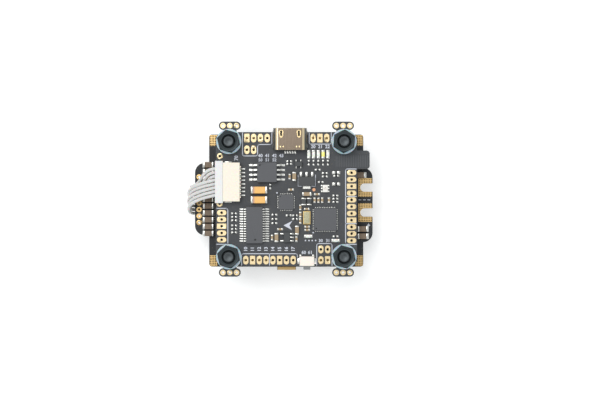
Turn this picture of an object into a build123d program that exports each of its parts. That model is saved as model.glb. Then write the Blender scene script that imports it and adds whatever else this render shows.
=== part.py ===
from build123d import *
import math
import os

# A motor speed controller with its flight controller on top: two circuit boards on four rubber-bushed
# screws, joined by an eight-wire harness.  Millimetres, +Z up.
# Origin: the centre of the four-screw pattern, on the plate that the lower bushes stand on.
# X and Y run along the board edges.  -X is the harness side, +Y the USB side.

os.makedirs("parts", exist_ok=True)

# ---- driving sizes: stack ----------------------------------------------------------------------------
MOUNT_PITCH = 30.5        # screw to screw, both ways
PLATE_GAP = 2.5           # frame plate that the screw heads clamp from below
SCREW_LENGTH = 20.0       # under the head
SCREW_R = 1.5             # M3 crest radius, bare in the plate gap
THREAD_ROOT_R = 1.23      # M3 root radius, used where the screw is inside rubber and nut
HEAD_R = 2.85
HEAD_HEIGHT = 1.65
HEAD_DOME = 0.75          # rounding of the head, as a share of its height
HEAD_SOCKET_AF = 2.0
HEAD_SOCKET_DEPTH = 1.0
NUT_AF = 5.5
NUT_HEIGHT = 2.4
NUT_MOUTH_R = 1.9         # rim of the countersink
NUT_MOUTH_DEPTH = 0.5
NUT_TURNS = {(-1, 1): 44.0, (1, 1): 26.5, (-1, -1): 43.0, (1, -1): 44.0}

BUSH_HOLE_R = 2.0         # hole in either board, filled by the rubber neck
BUSH_BORE_R = 1.6
BUSH_FLANGE_R = 3.35
BUSH_EDGE_R = 0.45
ESC_BUSH_BELOW = 3.2
ESC_BUSH_ABOVE = 2.9
FC_BUSH_BELOW = 2.5
FC_BUSH_ABOVE = 2.5

COPPER = 0.06             # how far a plated land stands off the board
BARREL_WALL = 0.06        # plating inside a drilled hole
LAND_CORNER_R = 0.12      # of a square-cornered land

# ---- driving sizes: speed controller board -----------------------------------------------------------
ESC_T = 2.0
ESC_MARGIN_LEFT = 5.55    # board edge past the screw row
ESC_MARGIN_RIGHT = 5.35
ESC_MARGIN_TOP = 2.1
ESC_MARGIN_BOTTOM = 2.9
ESC_CORNER_R = 0.8
ESC_BULGE_LEFT = 9.35     # side lobes, past the screw row
ESC_BULGE_RIGHT = 7.85
ESC_BULGE_HALF = 9.7
ESC_BULGE_R = 2.6
ESC_RIGHT_TOP = 8.4
ESC_RIGHT_BOTTOM = -11.6
ESC_TAB_HALF = 2.5        # short tongue of the -Y edge that carries a plated strip
ESC_TAB_OUT = 0.85

POWER_PAD_LENGTH = 3.7
POWER_PAD_WIDTH = 5.0
POWER_NOTCH = 2.2
POWER_NOTCH_DEPTH = 3.3
POWER_PAD_Y = (3.1, -3.6)

PAD_INSET = 0.15          # bare board between a land and the edge
MOTOR_PAD_Y = 2.9
MOTOR_PAD_OUTER_X = 2.1
MOTOR_PAD_INNER_X = 2.7
MOTOR_PAD_INNER = (8.6, 5.2)   # how far the inner two are from the screw axis

# ---- driving sizes: flight controller board ----------------------------------------------------------
FC_T = 1.6
FC_MARGIN_X = 3.5
FC_MARGIN_Y = 2.55
FC_CORNER_CUT = 1.38
RING_PITCH = 1.8
RING_R = 0.75
RING_HOLE_R = 0.33
RING_ROW_OUT = 4.25       # ring row from the screw axis, along Y
RING_ROW_MID = -0.2       # middle ring from the screw axis, inwards
LOBE_R = 1.1
LOBE_FILLET = 0.5
TAB_OUT = 3.35            # side tab of the +X edge
TAB_Y = (8.0, 12.9)
TAB_R = 0.8

PAD_PITCH = 1.8
PAD_HOLE_R = 0.35

# ---- driving sizes: connectors and button ------------------------------------------------------------
HEADER_PINS = 8
HEADER_PITCH = 1.0
HEADER_WIDTH = 10.3
HEADER_DEPTH = 4.45
HEADER_HEIGHT = 2.95
HEADER_BACK_WALL = 1.0
HEADER_MOUTH_Z = 1.45     # pin row above the board
PLUG_NECK_WIDTH = 8.7
PLUG_NECK_THICK = 1.9
PLUG_LIP_LENGTH = 2.1
PLUG_LIP_WIDTH = 11.2
PLUG_LIP_THICK = 2.6
PLUG_GAP = 0.05
PIN = 0.26
PIN_SOCKET = 0.46
PIN_REACH = 1.9
PIN_SPARE = 0.3           # socket depth past the pin's tip
LEAD_T = 0.15
LEAD_FOOT = 1.06
LEAD_WIDTH = 0.34

WIRE_R = 0.42
WIRE_ENTRY = 0.25         # how far a wire starts inside the upper plug, before it is cut flush with its face

USB_X = 0.96
USB_WIDTH = 8.94
USB_HEIGHT = 3.2
USB_LENGTH = 5.8
USB_OVERHANG = 1.0
USB_WALL = 0.3
USB_TONGUE_WIDTH = 6.69
USB_TONGUE_THICK = 0.7
USB_FEET = 5
USB_FOOT_PITCH = 0.66

BUTTON_X = 5.43
BUTTON_SETBACK = 0.1      # base behind the board edge
BUTTON_WIDTH = 3.75
BUTTON_DEPTH = 2.5
BUTTON_HEIGHT = 1.8
BUTTON_WALL = 0.4
PLUNGER_WIDTH = 1.85
PLUNGER_THICK = 0.8
PLUNGER_OUT = 1.0
PLUNGER_COLLAR = 0.5      # ledge that keeps the plunger in
PLUNGER_COLLAR_T = 0.45
PLUNGER_TRAVEL = 0.25
PLUNGER_GAP = 0.05
PLUNGER_SLACK = 0.02      # collar to the front wall, at rest
DOME_T = 0.08
DOME_SPREAD = 0.8         # dome across the collar, as a share of the collar's width

# ---- places that follow ------------------------------------------------------------------------------
HALF = MOUNT_PITCH / 2
ESC_Z0 = ESC_BUSH_BELOW
ESC_Z1 = ESC_Z0 + ESC_T
FC_BUSH_Z = ESC_Z1 + ESC_BUSH_ABOVE
FC_Z0 = FC_BUSH_Z + FC_BUSH_BELOW
FC_Z1 = FC_Z0 + FC_T
NUT_Z = FC_Z1 + FC_BUSH_ABOVE

ESC_LEFT = HALF + ESC_MARGIN_LEFT
ESC_RIGHT = HALF + ESC_MARGIN_RIGHT
ESC_TOP = HALF + ESC_MARGIN_TOP
ESC_BOTTOM = HALF + ESC_MARGIN_BOTTOM
ESC_FAR_LEFT = HALF + ESC_BULGE_LEFT
ESC_FAR_RIGHT = HALF + ESC_BULGE_RIGHT
FC_EDGE_X = HALF + FC_MARGIN_X
FC_EDGE_Y = HALF + FC_MARGIN_Y

SIDES = (-1, 1)
CORNERS = [(sx, sy) for sx in SIDES for sy in SIDES]


# ---- small makers ------------------------------------------------------------------------------------
def block(width, depth, height, x=0.0, y=0.0, z=0.0):
    """A box standing on height z, centred on x, y."""
    return Pos(x, y, z + height / 2) * Box(width, depth, height)


def rod(radius, height, x=0.0, y=0.0, z=0.0):
    """An upright cylinder standing on height z."""
    return Pos(x, y, z + height / 2) * Cylinder(radius, height)


def slab(sketch, height, z):
    """A flat sketch thickened upwards from height z."""
    return Pos(0, 0, z) * extrude(sketch, height)


def save(name, shapes):
    """Write one node from a shape or a list of shapes."""
    solids = []
    for shape in shapes if isinstance(shapes, list) else [shapes]:
        solids.extend(shape.solids())
    export_step(Compound(children=solids), f"parts/{name}.step")


# ---- screws, nuts and rubber bushes ------------------------------------------------------------------
def stack_screw():
    """Button-head screw: head under the plate, bare crest in the plate gap, root size above it."""
    head = rod(HEAD_R, HEAD_HEIGHT, z=-PLATE_GAP - HEAD_HEIGHT)
    head = fillet(head.edges().group_by(Axis.Z)[0], HEAD_HEIGHT * HEAD_DOME)
    socket = slab(RegularPolygon(HEAD_SOCKET_AF / 2, 6, major_radius=False), HEAD_SOCKET_DEPTH, 0)
    head -= Pos(0, 0, -PLATE_GAP - HEAD_HEIGHT) * socket
    crest = rod(SCREW_R, PLATE_GAP, z=-PLATE_GAP)
    root = rod(THREAD_ROOT_R, SCREW_LENGTH - PLATE_GAP)
    return head + crest + root


def stack_nut(turn):
    """Plain hexagon nut with a countersunk mouth."""
    nut = slab(RegularPolygon(NUT_AF / 2, 6, major_radius=False), NUT_HEIGHT, 0)
    nut -= rod(THREAD_ROOT_R, NUT_HEIGHT)
    mouth = Pos(0, 0, NUT_HEIGHT - NUT_MOUTH_DEPTH / 2) * Cone(THREAD_ROOT_R, NUT_MOUTH_R, NUT_MOUTH_DEPTH)
    return Rot(0, 0, turn) * (nut - mouth)


def bush(below, board, above):
    """Rubber bush: a flange on each side of the board and a neck through its hole."""
    low = rod(BUSH_FLANGE_R, below)
    high = rod(BUSH_FLANGE_R, above, z=below + board)
    low = fillet(low.edges(), BUSH_EDGE_R)
    high = fillet(high.edges(), BUSH_EDGE_R)
    neck = rod(BUSH_HOLE_R, below + board + above)
    return low + high + neck - rod(BUSH_BORE_R, below + board + above)


def at_corners(piece, z):
    """One copy of a piece on each screw axis."""
    return [Pos(sx * HALF, sy * HALF, z) * piece for sx, sy in CORNERS]


stack_nuts = [Pos(sx * HALF, sy * HALF, NUT_Z) * stack_nut(NUT_TURNS[sx, sy]) for sx, sy in CORNERS]
save("stack_screws", at_corners(stack_screw(), 0))
save("stack_nuts", stack_nuts)
save("esc_grommets", at_corners(bush(ESC_BUSH_BELOW, ESC_T, ESC_BUSH_ABOVE), 0))
save("fc_grommets", at_corners(bush(FC_BUSH_BELOW, FC_T, FC_BUSH_ABOVE), FC_BUSH_Z))

BUSH_HOLES = [Pos(sx * HALF, sy * HALF) * Circle(BUSH_HOLE_R) for sx, sy in CORNERS]


# ---- plated holes, shared by both boards -------------------------------------------------------------
def land(x, y, along_x, along_y, square):
    """Outline of one land: square-cornered for the first pin of a group, otherwise round-ended."""
    if square:
        return Pos(x, y) * RectangleRounded(along_x, along_y, LAND_CORNER_R)
    if along_x == along_y:
        return Pos(x, y) * Circle(along_x / 2)
    if along_x > along_y:
        return Pos(x, y) * SlotOverall(along_x, along_y)
    return Pos(x, y) * Rot(0, 0, 90) * SlotOverall(along_y, along_x)


def plated_hole(pad, hole_r, z0, z1):
    """Two lands joined by a barrel through the board, with the hole left open."""
    x, y = pad[:2]
    outline = land(*pad)
    solid = slab(outline, COPPER, z1) + slab(outline, COPPER, z0 - COPPER)
    solid += rod(hole_r + BARREL_WALL, z1 - z0, x, y, z0)
    return solid - rod(hole_r, z1 - z0 + 2 * COPPER, x, y, z0 - COPPER)


def drill(pads, hole_r):
    """The board's side of a row of plated holes."""
    return [Pos(pad[0], pad[1]) * Circle(hole_r + BARREL_WALL) for pad in pads]


# ---- speed controller: board and copper --------------------------------------------------------------
SIGNAL_RING_PITCH = 1.75
SIGNAL_RING_D = 1.45
SIGNAL_RING_HOLE_R = 0.3
SIGNAL_RINGS = [
    (1.1 - ESC_FAR_LEFT, 5.95 - i * SIGNAL_RING_PITCH, SIGNAL_RING_D, SIGNAL_RING_D, False) for i in range(8)
]


def notch(y):
    """Wire notch of a power pad: open at the board edge, round at its inner end."""
    length = POWER_NOTCH_DEPTH - POWER_NOTCH / 2
    x0 = ESC_FAR_RIGHT - length
    return Pos(x0 + length / 2, y) * Rectangle(length, POWER_NOTCH) + Pos(x0, y) * Circle(POWER_NOTCH / 2)


def esc_outline():
    """Rectangle with a rounded lobe on each side and a short tongue on the -Y edge."""
    middle = Pos((ESC_RIGHT - ESC_LEFT) / 2, (ESC_TOP - ESC_BOTTOM) / 2)
    body = middle * RectangleRounded(ESC_LEFT + ESC_RIGHT, ESC_TOP + ESC_BOTTOM, ESC_CORNER_R)
    body += Pos(-ESC_FAR_LEFT / 2, 0) * RectangleRounded(ESC_FAR_LEFT, 2 * ESC_BULGE_HALF, ESC_BULGE_R)
    right_y = (ESC_RIGHT_TOP + ESC_RIGHT_BOTTOM) / 2
    right_size = ESC_RIGHT_TOP - ESC_RIGHT_BOTTOM
    body += Pos(ESC_FAR_RIGHT / 2, right_y) * RectangleRounded(ESC_FAR_RIGHT, right_size, ESC_BULGE_R)
    tab = Rectangle(2 * ESC_TAB_HALF, 2 * ESC_TAB_OUT)
    return body + Pos(0, -ESC_BOTTOM) * tab


esc_sketch = esc_outline() - BUSH_HOLES - drill(SIGNAL_RINGS, SIGNAL_RING_HOLE_R)
esc_sketch -= [notch(y) for y in POWER_PAD_Y]
save("esc_board", slab(esc_sketch, ESC_T, ESC_Z0))
save("esc_signal_rings", [plated_hole(ring, SIGNAL_RING_HOLE_R, ESC_Z0, ESC_Z1) for ring in SIGNAL_RINGS])


def both_faces(sketch):
    """The same copper on the top and the bottom of the speed controller board."""
    return [slab(sketch, COPPER, ESC_Z1), slab(sketch, COPPER, ESC_Z0 - COPPER)]


def power_pads():
    """Battery pads: one pair of notched lands for each pole."""
    copper = []
    for y in POWER_PAD_Y:
        x = ESC_FAR_RIGHT - PAD_INSET - POWER_PAD_LENGTH / 2
        land_area = Pos(x, y) * Rectangle(POWER_PAD_LENGTH, POWER_PAD_WIDTH)
        copper += both_faces(land_area - notch(y))
    return copper


def motor_pads():
    """Three lands for each motor: one outside the screw, two between the screws."""
    copper = []
    for sx, sy in CORNERS:
        edge = ESC_RIGHT if sx > 0 else ESC_LEFT
        long_edge = ESC_TOP if sy > 0 else ESC_BOTTOM
        y = sy * (long_edge - PAD_INSET - MOTOR_PAD_Y / 2)
        outer_x = sx * (edge - PAD_INSET - MOTOR_PAD_OUTER_X / 2)
        copper += both_faces(Pos(outer_x, y) * Rectangle(MOTOR_PAD_OUTER_X, MOTOR_PAD_Y))
        for inward in MOTOR_PAD_INNER:
            copper += both_faces(Pos(sx * (HALF - inward), y) * Rectangle(MOTOR_PAD_INNER_X, MOTOR_PAD_Y))
    return copper


EDGE_STRIP_WIDTH = 4.8
edge_strip = Pos(0, -ESC_BOTTOM - ESC_TAB_OUT / 2) * Rectangle(EDGE_STRIP_WIDTH, ESC_TAB_OUT)
save("esc_power_pads", power_pads())
save("esc_motor_pads", motor_pads())
save("esc_edge_pad", both_faces(edge_strip))


# ---- two-ended chip parts, shared by both boards -----------------------------------------------------
def chip_part(place, size, z, under=False):
    """A two-ended part: its body and its two metal ends.  The place is x, y and the turn in degrees."""
    x, y, turn = place
    length, width, height, end = size
    base = z - height if under else z
    spot = Pos(x, y, base) * Rot(0, 0, turn)
    body = spot * block(length - 2 * end, width, height)
    ends = [spot * block(end, width, height, s * (length - end) / 2) for s in SIDES]
    return body, ends


def chip_parts(places, size, z, under=False):
    """Bodies and ends of every part of one size."""
    made = [chip_part(place, size, z, under) for place in places]
    return [m[0] for m in made], [e for m in made for e in m[1]]


# ---- speed controller: parts on the board ------------------------------------------------------------
# Sizes are length, width, height and end; places are x, y and turn.
BULK_CAP = (2.8, 1.5, 1.5, 0.5)
BULK_CAP_PITCH = 1.84
BULK_CAPS = [(3.65 - ESC_FAR_LEFT, 9.2 - i * BULK_CAP_PITCH, 0) for i in range(11)]
BULK_CAPS += [(ESC_RIGHT - 0.2, -8.0, 0), (ESC_RIGHT - 0.2, -9.95, 0), (ESC_RIGHT - 0.8, 6.45, 0)]
SHUNT = (6.4, 3.0, 0.7, 1.1)
SHUNTS = [(14.6, 2.4, 0), (14.6, -2.4, 0)]
MOSFET = (5.0, 5.8, 0.9)
MOSFET_X = (3.2, 8.6, 14.0)
MOSFET_Y = 8.5
MOTOR_MCU = (4.0, 4.0, 0.8)
MOTOR_MCU_X = (-12.4, -4.1, 4.1, 12.4)
GATE_DRIVER = (3.0, 3.0, 0.8)
GATE_DRIVERS = [(sx * 8.25, sy * 2.4) for sx in SIDES for sy in SIDES]
ESC_REGULATOR = (2.6, 2.6, 0.9)
ESC_INDUCTOR = (3.2, 3.2, 2.0)
ESC_SUPPLY_X = 16.9

cap_bodies, cap_ends = chip_parts(BULK_CAPS, BULK_CAP, ESC_Z1)
shunt_bodies, shunt_ends = chip_parts(SHUNTS, SHUNT, ESC_Z0, under=True)
mosfets = []
for sx, sy in CORNERS:
    for x in MOSFET_X:
        for z in (ESC_Z1, ESC_Z0 - MOSFET[2]):
            mosfets.append(block(*MOSFET, sx * x, sy * MOSFET_Y, z))

save("esc_mosfets", mosfets)
save("esc_capacitors", cap_bodies)
save("esc_current_shunts", shunt_bodies)
save("esc_part_ends", cap_ends + shunt_ends)
save("esc_microcontrollers", [block(*MOTOR_MCU, x, 0, ESC_Z1) for x in MOTOR_MCU_X])
save("esc_gate_drivers", [block(*GATE_DRIVER, x, y, ESC_Z1) for x, y in GATE_DRIVERS])
save("esc_regulator", block(*ESC_REGULATOR, ESC_SUPPLY_X, 2.6, ESC_Z1))
save("esc_inductor", block(*ESC_INDUCTOR, ESC_SUPPLY_X, -2.4, ESC_Z1))


# ---- harness headers and plugs -----------------------------------------------------------------------
# Drawn with the back face on x = 0, the mouth towards -X and the board under z = 0.
PIN_YS = [(i - (HEADER_PINS - 1) / 2) * HEADER_PITCH for i in range(HEADER_PINS)]
CAVITY_DEPTH = HEADER_DEPTH - HEADER_BACK_WALL
TAB_LENGTH = 1.9
TAB_THICK = 0.3
TAB_HEIGHT = 0.8
TAB_PLACE = 0.7           # from the housing's back, as a share of its depth


def header_housing():
    """Side-entry housing with its pin holes in the back wall."""
    box = block(HEADER_DEPTH, HEADER_WIDTH, HEADER_HEIGHT, -HEADER_DEPTH / 2)
    width = PLUG_NECK_WIDTH + 2 * PLUG_GAP
    thick = PLUG_NECK_THICK + 2 * PLUG_GAP
    box -= block(CAVITY_DEPTH, width, thick, CAVITY_DEPTH / 2 - HEADER_DEPTH, 0, HEADER_MOUTH_Z - thick / 2)
    pin_hole = Pos(-HEADER_BACK_WALL / 2, 0, HEADER_MOUTH_Z) * Box(HEADER_BACK_WALL, PIN, PIN)
    return box - [Pos(0, y, 0) * pin_hole for y in PIN_YS]


def header_contacts():
    """Pins bent down to flat feet behind the housing, and a solder tab at each end."""
    pieces = []
    for y in PIN_YS:
        reach = HEADER_BACK_WALL + PIN_REACH + LEAD_T
        pin = Pos(LEAD_T - reach / 2, y, HEADER_MOUTH_Z) * Box(reach, PIN, PIN)
        riser = block(LEAD_T, LEAD_WIDTH, HEADER_MOUTH_Z + PIN / 2, LEAD_T / 2, y)
        foot = block(LEAD_FOOT, LEAD_WIDTH, LEAD_T, LEAD_FOOT / 2, y)
        pieces.append(pin + riser + foot)
    for side in SIDES:
        y = side * (HEADER_WIDTH + TAB_THICK) / 2
        pieces.append(block(TAB_LENGTH, TAB_THICK, TAB_HEIGHT, -HEADER_DEPTH * TAB_PLACE, y))
    return pieces


def plug_lip():
    """The thicker end of a plug, outside the housing, where the wires go in."""
    x = -HEADER_DEPTH - PLUG_LIP_LENGTH / 2
    return Pos(x, 0, HEADER_MOUTH_Z) * Box(PLUG_LIP_LENGTH, PLUG_LIP_WIDTH, PLUG_LIP_THICK)


def plug():
    """Plug: neck in the housing with a socket for every pin, and the lip outside it."""
    neck_length = CAVITY_DEPTH - PLUG_GAP
    z = HEADER_MOUTH_Z
    neck = Pos(neck_length / 2 - HEADER_DEPTH, 0, z) * Box(neck_length, PLUG_NECK_WIDTH, PLUG_NECK_THICK)
    depth = PIN_REACH + PIN_SPARE
    holes = [Pos(-HEADER_BACK_WALL - depth / 2, y, z) * Box(depth, PIN_SOCKET, PIN_SOCKET) for y in PIN_YS]
    return neck + plug_lip() - holes


def place(pieces, spot):
    """Move a list of pieces together."""
    return [spot * piece for piece in pieces]


PLUG_FACE_FC = -18.9      # where the wires leave each plug
PLUG_FACE_ESC = -22.0
HEADER_Y_FC = 4.52
HEADER_Y_ESC = -0.4
HEADER_REACH = HEADER_DEPTH + PLUG_LIP_LENGTH
fc_spot = Pos(PLUG_FACE_FC + HEADER_REACH, HEADER_Y_FC, FC_Z1)
esc_spot = Pos(PLUG_FACE_ESC + HEADER_REACH, HEADER_Y_ESC, ESC_Z0) * Rot(180, 0, 0)
for name, spot in (("fc", fc_spot), ("esc", esc_spot)):
    save(f"{name}_header_housing", spot * header_housing())
    save(f"{name}_header_contacts", place(header_contacts(), spot))
    save(f"{name}_plug", spot * plug())

# ---- harness wires -----------------------------------------------------------------------------------
# Each wire leaves the upper plug, goes round the edge of the lower board and enters the plug under it.
WIRE_ROUTES = [
    [(-18.9, 8.02, 13.65), (-20.5, 7.85, 13.4), (-21.9, 6.7, 12.3), (-22.8, 5.2, 11.1), (-23.9, 4.0, 9.6),
     (-25.0, 3.5, 7.4), (-25.85, 3.3, 4.6), (-25.05, 3.12, 2.6), (-23.61, 3.1, 1.75), (-22.0, 3.1, 1.75)],
    [(-18.9, 7.02, 13.65), (-20.4, 6.85, 13.3), (-21.5, 5.6, 12.2), (-22.2, 4.1, 11.1), (-23.4, 3.0, 9.8),
     (-24.9, 2.5, 7.8), (-25.85, 2.3, 4.7), (-25.05, 2.12, 2.6), (-23.61, 2.1, 1.75), (-22.0, 2.1, 1.75)],
    [(-18.9, 6.02, 13.65), (-20.2, 5.8, 13.2), (-20.9, 4.5, 12.0), (-21.6, 3.0, 11.0), (-23.1, 2.0, 9.9),
     (-24.75, 1.6, 8.0), (-25.8, 1.45, 4.8), (-25.05, 1.13, 2.6), (-23.61, 1.1, 1.75), (-22.0, 1.1, 1.75)],
    [(-18.9, 5.02, 13.65), (-20.9, 4.6, 13.9), (-23.0, 3.95, 13.4), (-24.9, 3.2, 11.8), (-26.05, 2.2, 9.4),
     (-26.2, 0.95, 6.8), (-25.9, 0.28, 4.2), (-25.05, 0.13, 2.6), (-23.61, 0.1, 1.75), (-22.0, 0.1, 1.75)],
    [(-18.9, 4.02, 13.65), (-20.9, 3.6, 13.75), (-23.1, 2.95, 13.15), (-24.9, 2.2, 11.6), (-25.9, 1.2, 9.2),
     (-26.0, -0.05, 6.7), (-25.85, -0.7, 4.2), (-25.05, -0.87, 2.6), (-23.61, -0.9, 1.75), (-22.0, -0.9, 1.75)],
    [(-18.9, 3.02, 13.65), (-20.9, 2.6, 14.0), (-23.0, 1.95, 13.6), (-24.9, 1.2, 12.0), (-26.1, 0.2, 9.6),
     (-26.25, -1.0, 6.9), (-25.85, -1.68, 4.2), (-25.05, -1.87, 2.6), (-23.61, -1.9, 1.75), (-22.0, -1.9, 1.75)],
    [(-18.9, 2.02, 13.65), (-20.9, 1.6, 13.8), (-23.0, 0.95, 13.3), (-24.8, 0.15, 11.7), (-25.9, -0.87, 9.3),
     (-26.0, -2.02, 6.8), (-25.85, -2.65, 4.2), (-25.05, -2.87, 2.6), (-23.61, -2.9, 1.75), (-22.0, -2.9, 1.75)],
    [(-18.9, 1.02, 13.65), (-20.9, 0.6, 13.7), (-23.0, -0.05, 13.1), (-24.8, -0.85, 11.6), (-26.05, -1.88, 9.3),
     (-26.2, -3.05, 6.8), (-25.85, -3.65, 4.2), (-25.05, -3.87, 2.6), (-23.61, -3.9, 1.75), (-22.0, -3.9, 1.75)],
]


def corner_radii(points):
    """The largest arc that the two runs at each corner leave room for."""
    spots = [Vector(*p) for p in points]
    radii = []
    for before, corner, after in zip(spots, spots[1:], spots[2:]):
        arriving = corner - before
        leaving = after - corner
        half_turn = math.radians(arriving.get_angle(leaving)) / 2
        radii.append(0.45 * min(arriving.length, leaving.length) / math.tan(half_turn))
    return radii


def wire(points):
    """A round wire: straight runs joined by arcs, cut flush with the upper plug where it starts."""
    first = Vector(*points[0])
    outwards = (Vector(*points[1]) - first).normalized()
    run = [first - outwards * WIRE_ENTRY] + points[1:]
    radii = corner_radii(points)
    path = FilletPolyline(*run, radius=radii)
    start = Plane(origin=run[0], z_dir=path % 0)
    tube = sweep(start * Circle(WIRE_R), path=path)
    length = path.length - WIRE_ENTRY
    section = math.pi * WIRE_R ** 2 * path.length
    print(f"wire: length {length:.1f}, smallest radius {min(radii):.2f}, fill {tube.volume / section:.4f}")
    return tube - fc_spot * plug_lip()


for number, route in enumerate(WIRE_ROUTES, start=1):
    save(f"harness_wire_{number}", wire(route))


# ---- flight controller: board and plated holes -------------------------------------------------------
def pad_row(x, y, step_x, step_y, count, size, squares):
    """A row of lands with a drilled hole each; squares lists the square-cornered ones."""
    return [(x + i * step_x, y + i * step_y, *size, i in squares) for i in range(count)]


SIDE_PAD = (2.5, 1.4)
END_PAD = (1.4, 2.3)
TOP_ROW_Y = FC_EDGE_Y - 1.6
LEFT_PADS = pad_row(1.55 - FC_EDGE_X, -3.6, 0, -PAD_PITCH, 5, SIDE_PAD, (2,))
RIGHT_PADS = pad_row(FC_EDGE_X - 1.45, 7.0, 0, -PAD_PITCH, 11, SIDE_PAD, (2, 7))
TOP_LEFT_PADS = pad_row(4.75 - HALF, TOP_ROW_Y, PAD_PITCH, 0, 4, END_PAD, (0,))
TOP_LEFT_PADS += pad_row(4.75 - HALF, TOP_ROW_Y - 3.1, PAD_PITCH, 0, 2, END_PAD, ())
TOP_RIGHT_PADS = pad_row(HALF - 8.15, TOP_ROW_Y, PAD_PITCH, 0, 3, END_PAD, (1,))
BOTTOM_PADS = pad_row(4.45 - HALF, -TOP_ROW_Y, PAD_PITCH, 0, 8, END_PAD, (1, 5))
CORNER_PADS = pad_row(HALF - 6.1, -TOP_ROW_Y, PAD_PITCH, 0, 2, (1.4, 2.1), (1,))
CORNER_PADS += pad_row(HALF - 6.1, 2.85 - TOP_ROW_Y, PAD_PITCH, 0, 2, (1.4, 2.1), ())
LONE_PADS = [(1.09 - FC_EDGE_X, 11.4, 1.6, 1.6, False), (1.01 - FC_EDGE_X, -1.2, 1.6, 1.6, False)]
SOLDER_PADS = LEFT_PADS + RIGHT_PADS + TOP_LEFT_PADS + TOP_RIGHT_PADS + BOTTOM_PADS + CORNER_PADS + LONE_PADS

CORNER_RINGS = []
for sx, sy in CORNERS:
    for step in (-1, 0, 1):
        ring_x = sx * (HALF + RING_ROW_MID + step * RING_PITCH)
        CORNER_RINGS.append((ring_x, sy * (HALF + RING_ROW_OUT), 2 * RING_R, 2 * RING_R, False))


def fc_outline():
    """Rectangle with cut corners, a ring lobe past each screw and a tab on the +X edge."""
    body = Rectangle(2 * FC_EDGE_X, 2 * FC_EDGE_Y)
    body = chamfer(body.vertices(), FC_CORNER_CUT)
    lobe_length = 2 * RING_PITCH + 2 * LOBE_R
    for sx, sy in CORNERS:
        x = sx * (HALF + RING_ROW_MID)
        y = sy * (HALF + RING_ROW_OUT)
        body += Pos(x, y) * SlotOverall(lobe_length, 2 * LOBE_R)
        body += Pos(x, sy * (HALF + RING_ROW_OUT / 2)) * Rectangle(lobe_length - 2 * LOBE_R, RING_ROW_OUT)
    tab_x = FC_EDGE_X + TAB_OUT / 2 - TAB_R
    tab_size = TAB_OUT + 2 * TAB_R
    body += Pos(tab_x, sum(TAB_Y) / 2) * RectangleRounded(tab_size, TAB_Y[1] - TAB_Y[0], TAB_R)
    return body


fc_sketch = fc_outline() - BUSH_HOLES - drill(SOLDER_PADS, PAD_HOLE_R) - drill(CORNER_RINGS, RING_HOLE_R)
save("fc_board", slab(fc_sketch, FC_T, FC_Z0))
save("fc_solder_pads", [plated_hole(pad, PAD_HOLE_R, FC_Z0, FC_Z1) for pad in SOLDER_PADS])
save("fc_corner_rings", [plated_hole(ring, RING_HOLE_R, FC_Z0, FC_Z1) for ring in CORNER_RINGS])

# ---- USB receptacle ----------------------------------------------------------------------------------
USB_FRONT = FC_EDGE_Y + USB_OVERHANG
USB_BACK = USB_FRONT - USB_LENGTH
USB_MID_Z = FC_Z1 + USB_HEIGHT / 2
USB_ROUNDING = 0.45       # corner radius as a share of the height
USB_CORE_LENGTH = 1.6     # plastic that closes the back of the shell
USB_TONGUE_SETBACK = 0.7
USB_STRIP_SETBACK = 0.3   # contact strips behind the tongue's tip
USB_INNER_WIDTH = USB_WIDTH - 2 * USB_WALL
USB_INNER_HEIGHT = USB_HEIGHT - 2 * USB_WALL
USB_CONTACT = (0.25, 2.4, 0.05)
USB_FOOT = (0.42, 0.9, 0.18)
USB_LATCH_X = 2.34
USB_LATCH_SETBACK = 1.42
USB_LATCH = (0.5, 1.4)


def usb_prism(width, height, length, y):
    """A rounded bar along Y, centred in the receptacle, starting at y."""
    across = Plane(origin=(USB_X, y, USB_MID_Z), x_dir=(1, 0, 0), z_dir=(0, 1, 0))
    return extrude(across * RectangleRounded(width, height, height * USB_ROUNDING), length)


def usb_shell():
    """Drawn steel tube, open towards +Y, with two latch windows in its top."""
    shell = usb_prism(USB_WIDTH, USB_HEIGHT, USB_LENGTH, USB_BACK)
    shell -= usb_prism(USB_INNER_WIDTH, USB_INNER_HEIGHT, USB_LENGTH, USB_BACK)
    for side in SIDES:
        window = Box(*USB_LATCH, USB_HEIGHT / 2)
        latch_x = USB_X + side * USB_LATCH_X
        shell -= Pos(latch_x, USB_FRONT - USB_LATCH_SETBACK, USB_MID_Z + USB_HEIGHT / 2) * window
    return shell


def usb_tongue():
    """Plastic core with the tongue that the plug slides over."""
    core = usb_prism(USB_INNER_WIDTH, USB_INNER_HEIGHT, USB_CORE_LENGTH, USB_BACK)
    length = USB_LENGTH - USB_CORE_LENGTH - USB_TONGUE_SETBACK
    y = USB_BACK + USB_CORE_LENGTH + length / 2
    return core + Pos(USB_X, y, USB_MID_Z) * Box(USB_TONGUE_WIDTH, length, USB_TONGUE_THICK)


def usb_contacts():
    """A strip on each face of the tongue and a foot behind the core for every contact."""
    pieces = []
    strip_y = USB_FRONT - USB_TONGUE_SETBACK - USB_STRIP_SETBACK - USB_CONTACT[1] / 2
    for i in range(USB_FEET):
        x = USB_X + (i - (USB_FEET - 1) / 2) * USB_FOOT_PITCH
        for side in SIDES:
            z = USB_MID_Z + side * (USB_TONGUE_THICK + USB_CONTACT[2]) / 2
            pieces.append(Pos(x, strip_y, z) * Box(*USB_CONTACT))
        pieces.append(block(*USB_FOOT, x, USB_BACK - USB_FOOT[1] / 2, FC_Z1))
    return pieces


save("usb_shell", usb_shell())
save("usb_tongue", usb_tongue())
save("usb_contacts", usb_contacts())

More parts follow.
